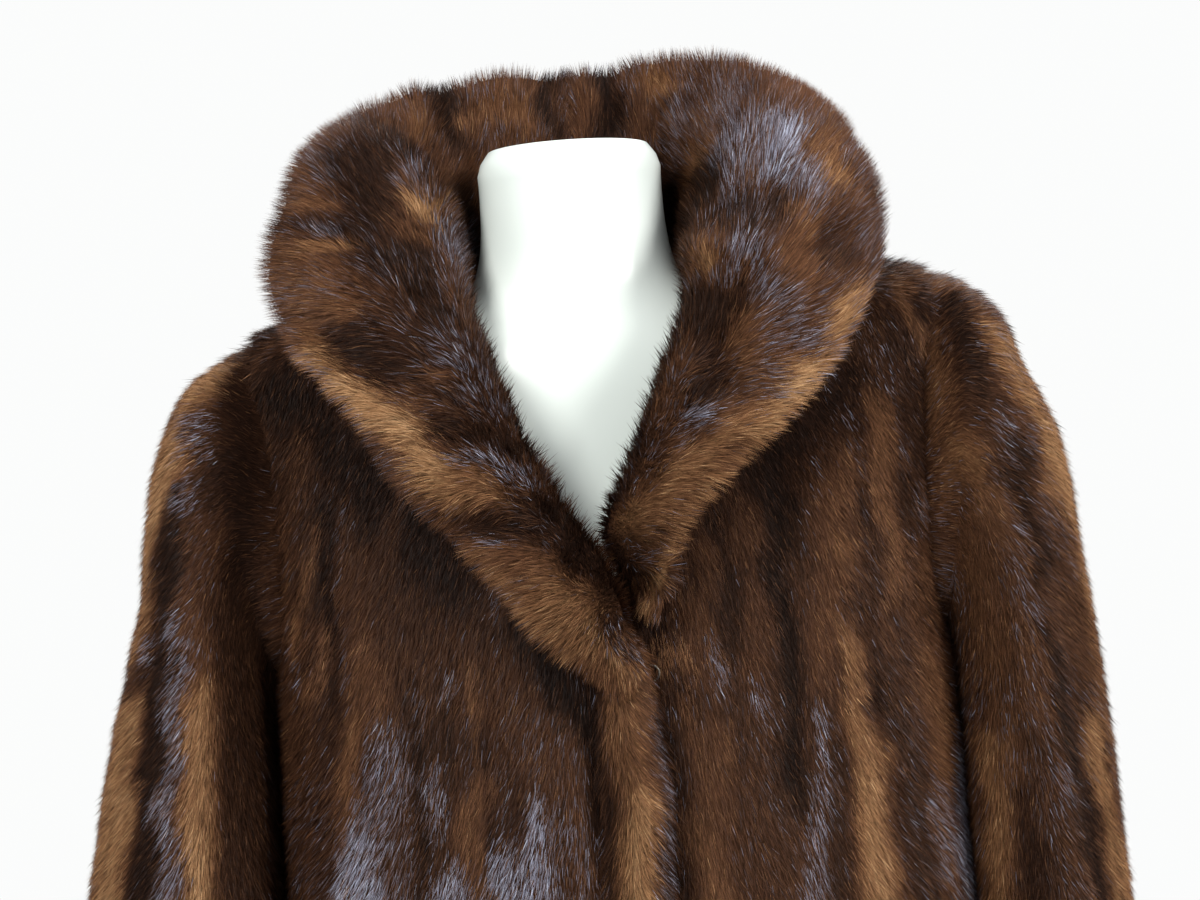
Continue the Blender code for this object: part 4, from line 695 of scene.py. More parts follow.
def fine_panel(side, behind, table, edge_x, necks, columns, arm_rows, below_rows):
    """The outer face of half a body panel, sampled closely."""
    arm, below = len(ARMHOLE_STEPS) - 1, 8
    last = necks - 1 + LINE_COLUMNS
    c = fine(0, last, columns)
    r = np.concatenate([fine(0, arm, arm_rows), fine(arm, arm + below, below_rows + 1)[1:]])
    neck_at = np.clip(c / (necks - 1), 0, 1)
    angle, drop = neck_line(table, side, behind, neck_at)
    neck_x = table["x"][-1] * (side if table is NECK_BACK else 1)
    end_x = CENTRE_X + side * BODY["half"][-1] * math.sin(math.radians(ARMHOLE["front_angle"][0]))
    share = np.interp(c - (necks - 1), [0, 1, 2, 3, 4, 5], [0, 0.25, 0.5, 0.75, 0.975, 1.0])
    line_x = neck_x + (end_x - neck_x) * share
    line = place(line_x, ridge(line_x), behind)[0]
    angle = np.where(c > necks - 1, line, angle)
    drop = np.where(c >= necks - 1 - 1e-6, -1.0, drop)
    knots = np.linspace(0, 1, last + 1)
    knots[-2] = 0.985
    spread = np.interp(c, np.arange(last + 1), knots)
    hole = armhole_at(side, behind, arm_steps(np.clip(r, 0, arm))[0])
    side_z = UNDERARM_Z + (HEM_Z - UNDERARM_Z) * np.clip((r - arm) / below, 0, 1) ** 1.1
    side_drop = (turn_z(behind) - side_z) / (turn_z(behind) - HEM_Z)
    outer = np.where(r > arm, side * math.pi / 2, hole[0]), np.where(r > arm, side_drop, hole[1])
    down = r / (arm + below)
    inner_drop = drop[0] + (1 - drop[0]) * down**1.05
    inner_z = body_point(np.full(len(r), angle[0]), inner_drop, behind)[:, 2]
    inner = [place(np.full(len(r), edge_x), inner_z, behind)[0], inner_drop]
    inner[0][0] = angle[0]
    start = math.asin((edge_x - CENTRE_X) / BODY["half"][0])
    inner[0][-1] = start
    hem = start + (side * math.pi / 2 - start) * spread, np.ones(len(c))
    top, hem, inner, outer = (np.stack(e, -1) for e in ((angle, drop), hem, inner, outer))
    u = spread[None, :, None] ** 2
    v = 1 - (1 - down[:, None, None]) ** 2
    corners = (1 - v) * ((1 - u) * top[0] + u * top[-1]) + v * ((1 - u) * hem[0] + u * hem[-1])
    grid = (1 - v) * top[None] + v * hem[None] + (1 - u) * inner[:, None] + u * outer[:, None] - corners
    points = body_point(grid[..., 0], grid[..., 1], behind)
    if not behind and side < 0:
        points[..., 1] -= lap(points[..., 0], points[..., 2])
    return points


def fine_sleeve(side, rows, arm_rows, seam):
    """A sleeve from its armhole seam to the cuff."""
    table = SLEEVE_LEFT if side > 0 else SLEEVE_RIGHT
    half = arm_steps(fine(0, len(ARMHOLE_STEPS) - 1, arm_rows))[1]
    turn = np.concatenate([half, 2 * math.pi - half[-2:0:-1]])
    knots = np.linspace(0, 1, len(table["out_x"]))
    at = np.linspace(0, 1, rows) ** 1.1
    column = {k: smooth(knots, v, at) for k, v in table.items()}
    cos, sin = np.cos(turn), np.sin(turn)
    cos = np.sign(cos) * np.abs(cos) ** 0.92
    rings = []
    for k in range(rows):
        out = np.array([side * column["out_x"][k], column["mid_y"][k], column["out_z"][k]])
        inn = np.array([side * column["in_x"][k], column["mid_y"][k], column["in_z"][k]])
        middle = 0.5 * (out + inn)
        deep = column["deep"][k] * np.sign(sin) * np.abs(sin) ** (0.70 + 0.22 * min(at[k] * 3, 1.0))
        ring = middle + 0.5 * (out - inn) * cos[:, None] + np.array([0, -1, 0]) * deep[:, None]
        trough = np.zeros_like(turn)
        for angle, wide, depth in zip(*SLEEVE_TROUGHS.values()):
            away = (np.degrees(turn) - angle + 180) % 360 - 180
            trough += depth * np.exp(-((away / wide) ** 2))
        inward = unit(middle - ring)
        rings.append(ring + inward * (trough * 0.001 * ease((at[k] - 0.05) / 0.35))[:, None])
    rings = np.array(rings)
    lead = [seam + (rings[0] - seam) * t for t in (0.02, 0.2, 0.4, 0.6, 0.8)]
    return np.concatenate([lead, rings])


class Skin:
    """One face of a piece: a grid of points with outward normals."""

    def __init__(self, node, grid, outward, closed=False):
        self.node, self.closed = node, closed
        self.base = grid
        self.sign = 1.0
        if (self.normals(grid) * outward).sum(-1).mean() < 0:
            self.sign = -1.0
        self.n = self.normals(grid)
        self.out = grid

    def wrap(self, grid):
        return np.concatenate([grid[:, -1:], grid, grid[:, :1]], 1) if self.closed else grid

    def normals(self, grid):
        wide = self.wrap(grid)
        down = np.gradient(wide, axis=0)
        across = np.gradient(wide, axis=1)
        if self.closed:
            down, across = down[:, 1:-1], across[:, 1:-1]
        n = np.cross(down, across) * self.sign
        n = unit(n + 1e-12)
        for _ in range(2):
            n = unit(self.blur(n))
        return n

    def blur(self, field):
        f = field.copy()
        f[1:-1] = 0.25 * field[:-2] + 0.5 * field[1:-1] + 0.25 * field[2:]
        if self.closed:
            return 0.25 * np.roll(f, 1, 1) + 0.5 * f + 0.25 * np.roll(f, -1, 1)
        g = f.copy()
        g[:, 1:-1] = 0.25 * f[:, :-2] + 0.5 * f[:, 1:-1] + 0.25 * f[:, 2:]
        return g

    def along(self, axis):
        """Unit tangents down the rows (0) or across the columns (1)."""
        wide = self.wrap(self.out)
        way = np.gradient(wide, axis=axis)
        way = way[:, 1:-1] if self.closed else way
        way = way - self.n * (way * self.n).sum(-1, keepdims=True)
        return unit(way + 1e-12)

    def raise_by(self, height):
        self.height = height
        self.out = self.base + self.n * height[..., None]
        self.n = self.normals(self.out)


def ends(count, near, far, reach):
    """1 along a row of points, falling to near and far at its two ends."""
    t = np.linspace(0, 1, count)
    return (near + (1 - near) * ease(t / reach)) * (far + (1 - far) * ease((1 - t) / reach))


def grid_faces(rows, columns, closed, flip, offset=0):
    i, j = np.meshgrid(np.arange(rows - 1), np.arange(columns if closed else columns - 1), indexing="ij")
    k = (j + 1) % columns
    face = np.stack([i * columns + j, (i + 1) * columns + j, (i + 1) * columns + k, i * columns + k], -1).reshape(-1, 4)
    return (face[:, ::-1] if flip else face) + offset


# ---------------------------------------------------------------- colours
def linear(*rgb):
    c = np.asarray(rgb, float) / 255
    return tuple(np.where(c <= 0.04045, c / 12.92, ((c + 0.055) / 1.055) ** 2.4)) + (1.0,)


# The hair's colour by tone: dark brown over orange to gold, then a second path
# from dusk brown to silver blue, partly the guard hairs' own colour and partly painted sheen.
TONES = ((0.0, (12, 6, 4)), (0.09, (25, 14, 9)), (0.18, (48, 29, 19)), (0.30, (79, 51, 34)), (0.42, (110, 76, 50)),
         (0.54, (146, 109, 75)), (0.65, (188, 151, 111)), (0.675, (188, 151, 111)), (0.70, (56, 46, 43)), (0.80, (94, 88, 94)),
         (0.90, (139, 141, 159)), (1.0, (196, 203, 223)))
GAIN = 1.42


def principled(name):
    mat = bpy.data.materials.new(name)
    mat.use_nodes = True
    return mat, mat.node_tree.nodes, mat.node_tree.links, mat.node_tree.nodes["Principled BSDF"]


def ramp(nodes, stops, smooth_it=False):
    node = nodes.new("ShaderNodeValToRGB")
    band_ = node.color_ramp
    band_.interpolation = "EASE" if smooth_it else "LINEAR"
    while len(band_.elements) > 1:
        band_.elements.remove(band_.elements[0])
    band_.elements[0].position, band_.elements[0].color = stops[0]
    for at, colour in stops[1:]:
        band_.elements.new(at).color = colour
    return node


def tone_ramp(nodes, gain):
    return ramp(nodes, [(at, tuple(min(c * gain, 1.0) for c in linear(*rgb)[:3]) + (1.0,)) for at, rgb in TONES])


def hair_material():
    mat, nodes, links, shader = principled("fur_hair")
    uv = nodes.new("ShaderNodeUVMap")
    uv.uv_map = "OFBake"
    parts = nodes.new("ShaderNodeSeparateXYZ")
    links.new(uv.outputs["UV"], parts.inputs["Vector"])
    colour = tone_ramp(nodes, GAIN)
    links.new(parts.outputs["X"], colour.inputs["Fac"])
    # painted shade: each blade darker at its root, full at its tip
    shade = ramp(nodes, [(0.0, (0.38, 0.38, 0.38, 1)), (0.35, (0.76, 0.76, 0.76, 1)), (0.8, (1, 1, 1, 1))])
    links.new(parts.outputs["Y"], shade.inputs["Fac"])
    mix = nodes.new("ShaderNodeMix")
    mix.data_type, mix.blend_type = "RGBA", "MULTIPLY"
    mix.inputs["Factor"].default_value = 1.0
    links.new(colour.outputs["Color"], mix.inputs["A"])
    links.new(shade.outputs["Color"], mix.inputs["B"])
    links.new(mix.outputs["Result"], shader.inputs["Base Color"])
    shader.inputs["Roughness"].default_value = 0.45
    shader.inputs["Specular IOR Level"].default_value = 0.06
    return mat


def skin_material():
    mat, nodes, links, shader = principled("fur_underwool")
    tone = nodes.new("ShaderNodeAttribute")
    tone.attribute_name = "tone"
    # painted shade: the underwool at half the hair's brightness, for the gaps between hairs
    colour = tone_ramp(nodes, GAIN * 0.50)
    links.new(tone.outputs["Fac"], colour.inputs["Fac"])
    place_ = nodes.new("ShaderNodeTexCoord")
    noise = nodes.new("ShaderNodeTexNoise")
    noise.inputs["Scale"].default_value = 700.0
    links.new(place_.outputs["Object"], noise.inputs["Vector"])
    dim = ramp(nodes, [(0.3, (0.55, 0.55, 0.55, 1)), (0.7, (1, 1, 1, 1))])
    links.new(noise.outputs["Fac"], dim.inputs["Fac"])
    mix = nodes.new("ShaderNodeMix")
    mix.data_type, mix.blend_type = "RGBA", "MULTIPLY"
    mix.inputs["Factor"].default_value = 1.0
    links.new(colour.outputs["Color"], mix.inputs["A"])
    links.new(dim.outputs["Color"], mix.inputs["B"])
    links.new(mix.outputs["Result"], shader.inputs["Base Color"])
    shader.inputs["Roughness"].default_value = 0.9
    shader.inputs["Specular IOR Level"].default_value = 0.06
    return mat


def plain_material(name, low, high, scale, roughness, metallic=0.0, stretch=(1, 1, 1), spread=0.0, specular=0.5):
    """A finish with a faint procedural variation between two colours."""
    mat, nodes, links, shader = principled(name)
    place_ = nodes.new("ShaderNodeTexCoord")
    mapping = nodes.new("ShaderNodeMapping")
    mapping.inputs["Scale"].default_value = stretch
    noise = nodes.new("ShaderNodeTexNoise")
    noise.inputs["Scale"].default_value = scale
    noise.inputs["Detail"].default_value = 3.0
    links.new(place_.outputs["Object"], mapping.inputs["Vector"])
    links.new(mapping.outputs["Vector"], noise.inputs["Vector"])
    colour = ramp(nodes, [(0.3, low), (0.7, high)])
    links.new(noise.outputs["Fac"], colour.inputs["Fac"])
    links.new(colour.outputs["Color"], shader.inputs["Base Color"])
    shader.inputs["Metallic"].default_value = metallic
    shader.inputs["Specular IOR Level"].default_value = specular
    if spread:
        rough = ramp(nodes, [(0.3, (roughness - spread,) * 3 + (1,)), (0.7, (roughness + spread,) * 3 + (1,))])
        links.new(noise.outputs["Fac"], rough.inputs["Fac"])
        links.new(rough.outputs["Color"], shader.inputs["Roughness"])
    else:
        shader.inputs["Roughness"].default_value = roughness
    return mat


# ---------------------------------------------------------------- tones
def stripes(node, points, column):
    """Tone and silver share where no mark lies: let-out strips, uneven along their length. The silver share leans to
    the strips' crests and is partly the guard hairs' own colour, partly painted sheen.
    """
    a = waves(11, points, 0.55, 2)
    b = waves(12, points, 0.16, 3)
    c = waves(13, points * np.array([1, 1, 0.30]), 0.045, 2)
    phase = column + 0.62 * a + 0.24 * b
    strong = 0.50 + 0.60 * waves(16, points * np.array([1, 1, 0.5]), 0.28, 2)
    crest = np.cos(2 * math.pi * phase)
    crest = np.sign(crest) * np.abs(crest) ** 1.2
    tone = 0.335 + (0.095 if node == "coat_back" else 0.115) * strong * crest + 0.08 * b + 0.07 * c + 0.06 * a
    gold = ease((waves(14, points * np.array([1, 1, 0.4]), 0.30, 2) - 0.10) / 0.5) * ease((crest + 0.2) / 0.9)
    tone = tone + 0.20 * gold
    silver_and_sheen = 0.42 * ease((waves(15, points * np.array([1, 1, 0.4]), 0.24, 2) - 0.15) / 0.45) * ease((crest + 0.1) / 0.9) * (1 - gold)
    return np.clip(tone, 0.12, 0.80), np.clip(silver_and_sheen, 0, 0.7)


def marks_over(node, points, facing, tone, silver_and_sheen):
    """Lay the piece's own marks over its strips, where it is seen from the front: its mottling along with the painted
    shade, painted highlights and painted sheen that the marks hold.
    """
    seen = view_plane(points)
    below = ease((1.045 - seen[..., 1]) / 0.26)
    warp = np.stack([waves(31, points, 0.045, 2), waves(32, points, 0.045, 2)], -1) * 0.0045
    seen = seen + warp + np.stack([waves(33, points, 0.013, 2), waves(34, points, 0.013, 2)], -1) * 0.0022
    shown = ease((facing + 0.19) / 0.20 if node.startswith("sleeve") else (facing + 0.38) / 0.36) * (1 - below)
    base = BASE_TONE.get(node)
    if base is not None:
        tone = tone + (base[0] + 0.35 * (tone - 0.33) - tone) * shown
        silver_and_sheen = silver_and_sheen + (base[1] + 0.3 * silver_and_sheen - silver_and_sheen) * shown
    rough = waves(35, points, 0.011, 2)
    own = TONE_AND_LIGHT_MARKS.get(node, ())
    if node == "front_band":
        own = TONE_AND_LIGHT_MARKS["front_right"] + own
    reach = (0.06, 0.47, 0.93) if node.startswith("collar") else ((0.07, 0.48, 0.94) if node.startswith("sleeve") else (0.07, 0.47, 0.84))
    for path, wide0, wide1, mark_tone, mark_silver_and_sheen in own:
        path = np.asarray(path)
        lengths = np.linalg.norm(np.diff(path, axis=0), axis=1)
        wide = wide0 + (wide1 - wide0) * np.append(0, np.cumsum(lengths)) / lengths.sum()
        path, wide = carried_down(node, path, wide)
        near = np.full(seen.shape[:-1], 1e9)
        for a, b, wide_a, wide_b in zip(path[:-1], path[1:], wide[:-1], wide[1:]):
            length = np.linalg.norm(b - a)
            t = np.clip(((seen - a) @ (b - a)) / max(length**2, 1e-9), 0, 1)
            away = np.linalg.norm(seen - a - t[..., None] * (b - a), axis=-1)
            near = np.minimum(near, away / ((wide_a + (wide_b - wide_a) * t) / 1000))
        near = near + 0.28 * rough
        cover = ease((1.70 - near) / 1.35) * shown * 0.92
        mark_tone = np.interp(mark_tone, (0, 0.5, 1), reach)
        tone = tone + (mark_tone - tone) * cover
        silver_and_sheen = silver_and_sheen + (mark_silver_and_sheen - silver_and_sheen) * cover
    return tone, silver_and_sheen


def carried_down(node, path, wide):
    """A mark that leaves the view at its lower edge goes on below it, some way on the flare."""
    if node.startswith("collar"):
        return path, wide
    first = path[0, 1] < path[-1, 1]
    foot = path[0] if first else path[-1]
    if foot[1] > 1.075:
        return path, wide
    mix = math.sin(foot[0] * 913.7) * 437.58
    far = 0.12 + 0.26 * (mix - math.floor(mix))
    lean = 0.10 * math.copysign(1, foot[0]) if node.startswith("sleeve") else 0.9 * (foot[0] - CENTRE_X)
    more = np.array([[foot[0] + lean * far, foot[1] - far]])
    if first:
        return np.concatenate([more, path]), np.append(wide[0] * 0.7, wide)
    return np.concatenate([path, more]), np.append(wide, wide[-1] * 0.7)


BASE_TONE = dict(collar_left=(0.40, 0.14), collar_right=(0.40, 0.12), front_left=(0.29, 0.07), front_right=(0.285, 0.05),
                 sleeve_left=(0.37, 0.13), sleeve_right=(0.31, 0.08), front_band=(0.43, 0.05))


def tones(skin, points, normals, column):
    tone, silver_and_sheen = stripes(skin.node, points, column)
    away = unit(EYE - points)
    facing = (normals * away).sum(-1)
    if skin.marked:
        tone, silver_and_sheen = marks_over(skin.node, points, facing, tone, silver_and_sheen)
    return tone, silver_and_sheen


# ---------------------------------------------------------------- meshes
def mesh_object(name, points, faces, mat, smooth_it=True):
    mesh = bpy.data.meshes.new(name)
    mesh.vertices.add(len(points))
    mesh.vertices.foreach_set("co", np.asarray(points, np.float32).ravel())
    mesh.loops.add(faces.size)
    mesh.loops.foreach_set("vertex_index", faces.ravel().astype(np.int32))
    mesh.polygons.add(len(faces))
    mesh.polygons.foreach_set("loop_start", np.arange(0, faces.size, faces.shape[1], dtype=np.int32))
    mesh.update(calc_edges=True)
    mesh.materials.append(mat)
    if smooth_it:
        mesh.shade_smooth()
    ob = bpy.data.objects.new(name, mesh)
    bpy.context.scene.collection.objects.link(ob)
    return ob


def pick(skin, field, i, j):
    """Read a field of the grid between its points."""
    i0 = np.clip(np.floor(i).astype(int), 0, field.shape[0] - 2)
    fi = i - i0
    if skin.closed:
        j0 = np.floor(j).astype(int) % field.shape[1]
        j1 = (j0 + 1) % field.shape[1]
        fj = j - np.floor(j)
    else:
        j0 = np.clip(np.floor(j).astype(int), 0, field.shape[1] - 2)
        j1 = j0 + 1
        fj = j - j0
    if field.ndim > 2:
        fi, fj = fi[:, None], fj[:, None]
    return (field[i0, j0] * (1 - fi) + field[i0 + 1, j0] * fi) * (1 - fj) + (field[i0, j1] * (1 - fi) + field[i0 + 1, j1] * fi) * fj


def cell_areas(skin):
    g = skin.out
    right = np.roll(g, -1, 1) if skin.closed else g[:, 1:]
    left = g if skin.closed else g[:, :-1]
    return 0.5 * np.linalg.norm(np.cross(right[1:] - left[:-1], left[1:] - right[:-1]), axis=-1)


def grow(name, skin, mat, seed):
    """Blades of hair on a skin, joined in one mesh."""
    rng = np.random.default_rng(seed)
    area = cell_areas(skin) * 1e6
    density = skin.density
    dense = np.roll(density, -1, 1) if skin.closed else density[:, 1:]
    base = density if skin.closed else density[:, :-1]
    amount = (area * 0.25 * (base[:-1] + base[1:] + dense[:-1] + dense[1:])).ravel()
    count = int(amount.sum())
    cells = np.searchsorted(np.cumsum(amount), rng.uniform(0, amount.sum(), count))
    cells = np.minimum(cells, len(amount) - 1)
    columns = area.shape[1]
    i = cells // columns + rng.uniform(0, 1, count)
    j = cells % columns + rng.uniform(0, 1, count)
    root, n, shade_n = pick(skin, skin.out, i, j), unit(pick(skin, skin.n, i, j)), unit(pick(skin, skin.shade_n, i, j))
    flow = pick(skin, skin.flow, i, j)
    flow = unit(flow - n * (flow * n).sum(-1, keepdims=True) + 1e-9)
    side = np.cross(n, flow)
    length = pick(skin, skin.length, i, j) * rng.uniform(0.72, 1.22, count)
    width = pick(skin, skin.width, i, j) * rng.uniform(0.7, 1.25, count)
    loose = 0.10 + 0.5 * max(skin.sway - 0.09, 0)
    lift = pick(skin, skin.lift, i, j) + rng.normal(0, loose + 0.02, count)
    swing = rng.normal(0, loose + 0.03, count) + skin.sway * waves(seed + 1, root, 0.035, 2)
    lift = np.clip(lift + 0.7 * skin.sway * waves(seed + 2, root, 0.022, 2), 0.04, 1.4)
    way = flow * np.cos(swing)[:, None] + side * np.sin(swing)[:, None]
    d = way * np.cos(lift)[:, None] + n * np.sin(lift)[:, None]
    room = pick(skin, skin.room, i, j)
    length = np.minimum(length, np.maximum(room * 0.6 / np.maximum(np.sin(lift), 0.08), 0.003))
    # tufts: tips lean towards the middle of their small cell
    size = skin.tuft
    ci, cj = np.floor(i / size[0]), np.floor(j / size[1])
    mix = np.sin(ci * 127.1 + cj * 311.7) * 43758.5453
    mix2 = np.sin(ci * 269.5 + cj * 183.3) * 43758.5453
    mi = (ci + 0.5 + 0.6 * (mix - np.floor(mix) - 0.5)) * size[0]
    mj = (cj + 0.5 + 0.6 * (mix2 - np.floor(mix2) - 0.5)) * size[1]
    centre = pick(skin, skin.out, np.clip(mi, 0, skin.out.shape[0] - 1.001), mj if skin.closed else np.clip(mj, 0, skin.out.shape[1] - 1.001))
    lean = centre - root
    lean = lean - n * (lean * n).sum(-1, keepdims=True)
    tip = root + d * length[:, None] + lean * (skin.lean * rng.uniform(0.5, 1.1, count))[:, None]
    d = unit(tip - root)
    w = unit(np.cross(d, n) + 1e-9)
    roll = rng.uniform(-1.0, 1.0, count)
    w = w * np.cos(roll)[:, None] + np.cross(d, w) * np.sin(roll)[:, None]
    root = root - n * 0.0008
    a, b = root - w * width[:, None] / 2, root + w * width[:, None] / 2
    face = np.cross(b - a, tip - a)
    turned = (face * n).sum(-1) < 0
    a[turned], b[turned] = b[turned].copy(), a[turned].copy()
    own = unit(shade_n - d * (shade_n * d).sum(-1, keepdims=True) + 1e-9)
    normal = unit(0.62 * own + 0.38 * shade_n + w * rng.normal(0, 0.30, count)[:, None])
    sample = root + d * (length * 0.55)[:, None] + way * rng.normal(0, 0.005, count)[:, None] + side * rng.normal(0, 0.0012, count)[:, None]
    tone, silver_and_sheen = tones(skin, sample, n, pick(skin, skin.column, i, j))
    # painted shade and painted sheen along the collar's free edge: tone 15% darker, silver share drawn to 0.30
    if skin.rim:
        rim = ease((j / (skin.out.shape[1] - 1) - 0.955) / 0.035) * ease((0.72 - i / skin.out.shape[0]) / 0.12)
        tone, silver_and_sheen = tone * (1 - 0.15 * rim), silver_and_sheen + (0.30 - silver_and_sheen) * rim
    fine_ = pick(skin, skin.fine, i, j)
    tone = tone + rng.normal(0, 0.068, count) * (0.28 + 0.72 * fine_)
    odd = rng.uniform(0, 1, count)
    tone = tone + (0.28 * (odd < 0.042) - 0.13 * (odd > 0.90)) * (0.12 + 0.88 * fine_)
    # silver hairs: partly the guard hairs' own colour, partly painted sheen
    shine = rng.uniform(0, 1, count) < (silver_and_sheen - 0.025) * (0.45 + 0.36 * fine_)
    bright = (0.14 + 0.44 * silver_and_sheen) * (0.45 + 0.55 * fine_) + rng.normal(0, 0.23, count) * (0.2 + 0.8 * fine_)
    u = np.where(shine, 0.715 + 0.28 * np.clip(bright, 0, 1), 0.004 + 0.64 * np.clip(tone, 0, 1))
    # hairs little seen start higher up the painted root shade, so their roots are darkened less
    foot = 0.004 + 0.20 * (1 - fine_)
    points = np.stack([a, b, tip], 1).reshape(-1, 3)
    faces = np.arange(3 * count).reshape(-1, 3)
    ob = mesh_object(name, points, faces, mat)
    uv = np.stack([np.stack([u - 0.0015, foot], -1), np.stack([u + 0.0015, foot], -1), np.stack([u, np.full(count, 0.996)], -1)], 1)
    layer = ob.data.uv_layers.new(name="OFBake")
    layer.data.foreach_set("uv", uv.astype(np.float32).ravel())
    ob.data.normals_split_custom_set_from_vertices(np.repeat(normal, 3, axis=0))
    return ob, count


def shell(name, skin, inner, mat, step):
    """The skin as a thin closed sheet under its hair, down to the inner points."""
    rows = np.unique(np.append(np.arange(0, skin.out.shape[0], step[0]), skin.out.shape[0] - 1))
    columns = np.arange(0, skin.out.shape[1], step[1]) if skin.closed else np.unique(np.append(np.arange(0, skin.out.shape[1], step[1]), skin.out.shape[1] - 1))
    at = np.ix_(rows, columns)
    out, inner = skin.out[at], inner[at]
    tone, silver_and_sheen = tones(skin, out, skin.n[at], skin.column[at])
    r, c = out.shape[:2]
    flip = skin.sign < 0
    faces = [grid_faces(r, c, skin.closed, flip), grid_faces(r, c, skin.closed, not flip, r * c)]
    edges = [(np.arange(c), True), ((r - 1) * c + np.arange(c), False)]
    if not skin.closed:
        edges += [(np.arange(r) * c, False), (np.arange(r) * c + c - 1, True)]
    for line, sense in edges:
        a, b = line, np.roll(line, -1)
        if not skin.closed:
            a, b = a[:-1], b[:-1]
        quad = np.stack([a, b, b + r * c, a + r * c], -1)
        faces.append(quad if sense != flip else quad[:, ::-1])
    ob = mesh_object(name, np.concatenate([out.reshape(-1, 3), inner.reshape(-1, 3)]), np.concatenate(faces), mat)
    attribute = ob.data.attributes.new("tone", "FLOAT", "POINT")
    value = np.clip((0.78 + 0.12 * (1 - skin.fine[at])) * tone * (1 - silver_and_sheen) + 0.2 * silver_and_sheen, 0.0, 0.6).ravel()
    attribute.data.foreach_set("value", np.concatenate([value, np.full(value.shape, 0.12)]).astype(np.float32))
    ob.data.set_sharp_from_angle(angle=math.radians(60))
    return ob


# ---------------------------------------------------------------- the coat
NECKS, BACK_NECKS, ARM_ROWS = 10, 5, 45
halves = {}
for side, table, edge_x in ((1, V_LEFT, LEFT_EDGE_X), (-1, V_RIGHT, RIGHT_EDGE_X)):
    front = fine_panel(side, False, table, edge_x, NECKS, 85, ARM_ROWS, 92)
    back = fine_panel(side, True, NECK_BACK, 0.0, BACK_NECKS, 70, ARM_ROWS, 92)
    seam = np.concatenate([front[:ARM_ROWS, -1], back[ARM_ROWS - 2 : 0 : -1, -1]])
    halves[side] = front, back, fine_sleeve(side, 100, ARM_ROWS, seam)
middle = 0.5 * (halves[1][1][:, :1] + halves[-1][1][:, :1])
whole_back = np.concatenate([halves[-1][1][:, :0:-1], middle, halves[1][1][:, 1:]], 1)


def from_axis(grid):
    return unit((grid - np.array([CENTRE_X, 0.01, 0])) * np.array([1, 1, 0.0]) + np.array([0, 0, 1e-6]))


def from_middle(grid):
    return unit(grid - grid.mean(1, keepdims=True) + 1e-9)


skins = {}
for node, grid, closed in (("front_left", halves[1][0], False), ("front_right", halves[-1][0], False), ("coat_back", whole_back, False),
                           ("sleeve_left", halves[1][2], True), ("sleeve_right", halves[-1][2], True)):
    skins[node] = Skin(node, grid, from_middle(grid) if closed else from_axis(grid), closed)
for side, node in ((1, "collar_left"), (-1, "collar_right")):
    middle_face = collar(side, 0.012, 11, 190, 64)
    up = np.zeros_like(middle_face)
    up[..., 1], up[..., 2] = -0.35, 1.0
    over = Skin(node, middle_face, up)
    over.base = over.base + over.n * 0.0006
    over.out = over.base
    under = Skin(node, middle_face, -up)
    under.base = under.base + under.n * 0.0006
    under.out = under.base
    skins[node], skins[node + "_under"] = over, under
band_face = band(150, 25)
band_out = np.zeros_like(band_face)
band_out[..., 0], band_out[..., 1] = band_face[..., 0] + 0.012, band_face[..., 1] - band_face[..., 1].mean(1)[:, None]
toward = ease((0.004 - band_face[..., 0]) / 0.012) * (np.arange(25) > 14)
meet = smooth(BAND["z"][::-1], BAND["stand"][::-1], np.clip(band_face[:, 20, 2], HEM_Z, BAND["z"][0]))[:, None] * 0.8 + 0.0045
band_face[..., 1] += toward * meet
skins["front_band"] = Skin("front_band", band_face, band_out)
skins["front_band"].base = skins["front_band"].base + skins["front_band"].n * 0.001
skins["front_band"].out = skins["front_band"].base


# ---------------------------------------------------------------- room to stand in
def tree_of(grid, closed, stride=2):
    g = grid[::stride, ::stride] if closed else grid[np.ix_(np.unique(np.append(np.arange(0, grid.shape[0], stride), grid.shape[0] - 1)), np.unique(np.append(np.arange(0, grid.shape[1], stride), grid.shape[1] - 1)))]
    return BVHTree.FromPolygons(g.reshape(-1, 3).tolist(), grid_faces(g.shape[0], g.shape[1], closed, False).tolist())


def form_rings(count, around):
    z = np.linspace(FORM["z"][0], FORM["z"][-1], count)
    z = np.unique(np.concatenate([z, [1.4965, 1.4985, 1.4995]]))
    turn = np.linspace(0, 2 * math.pi, around, endpoint=False)
    s, c = np.sin(turn), np.cos(turn)
    half, front_, back_ = (smooth(FORM["z"], FORM[k], z)[:, None] for k in ("half", "front", "back"))
    deep = np.where(c > 0, front_, back_)
    return np.stack([half * s, -deep * np.sign(c) * np.abs(c) ** 0.92, np.broadcast_to(z[:, None], deep.shape)], -1)


trees = {name: tree_of(skin.base, skin.closed) for name, skin in skins.items()}
trees["form"] = tree_of(form_rings(60, 48), True)


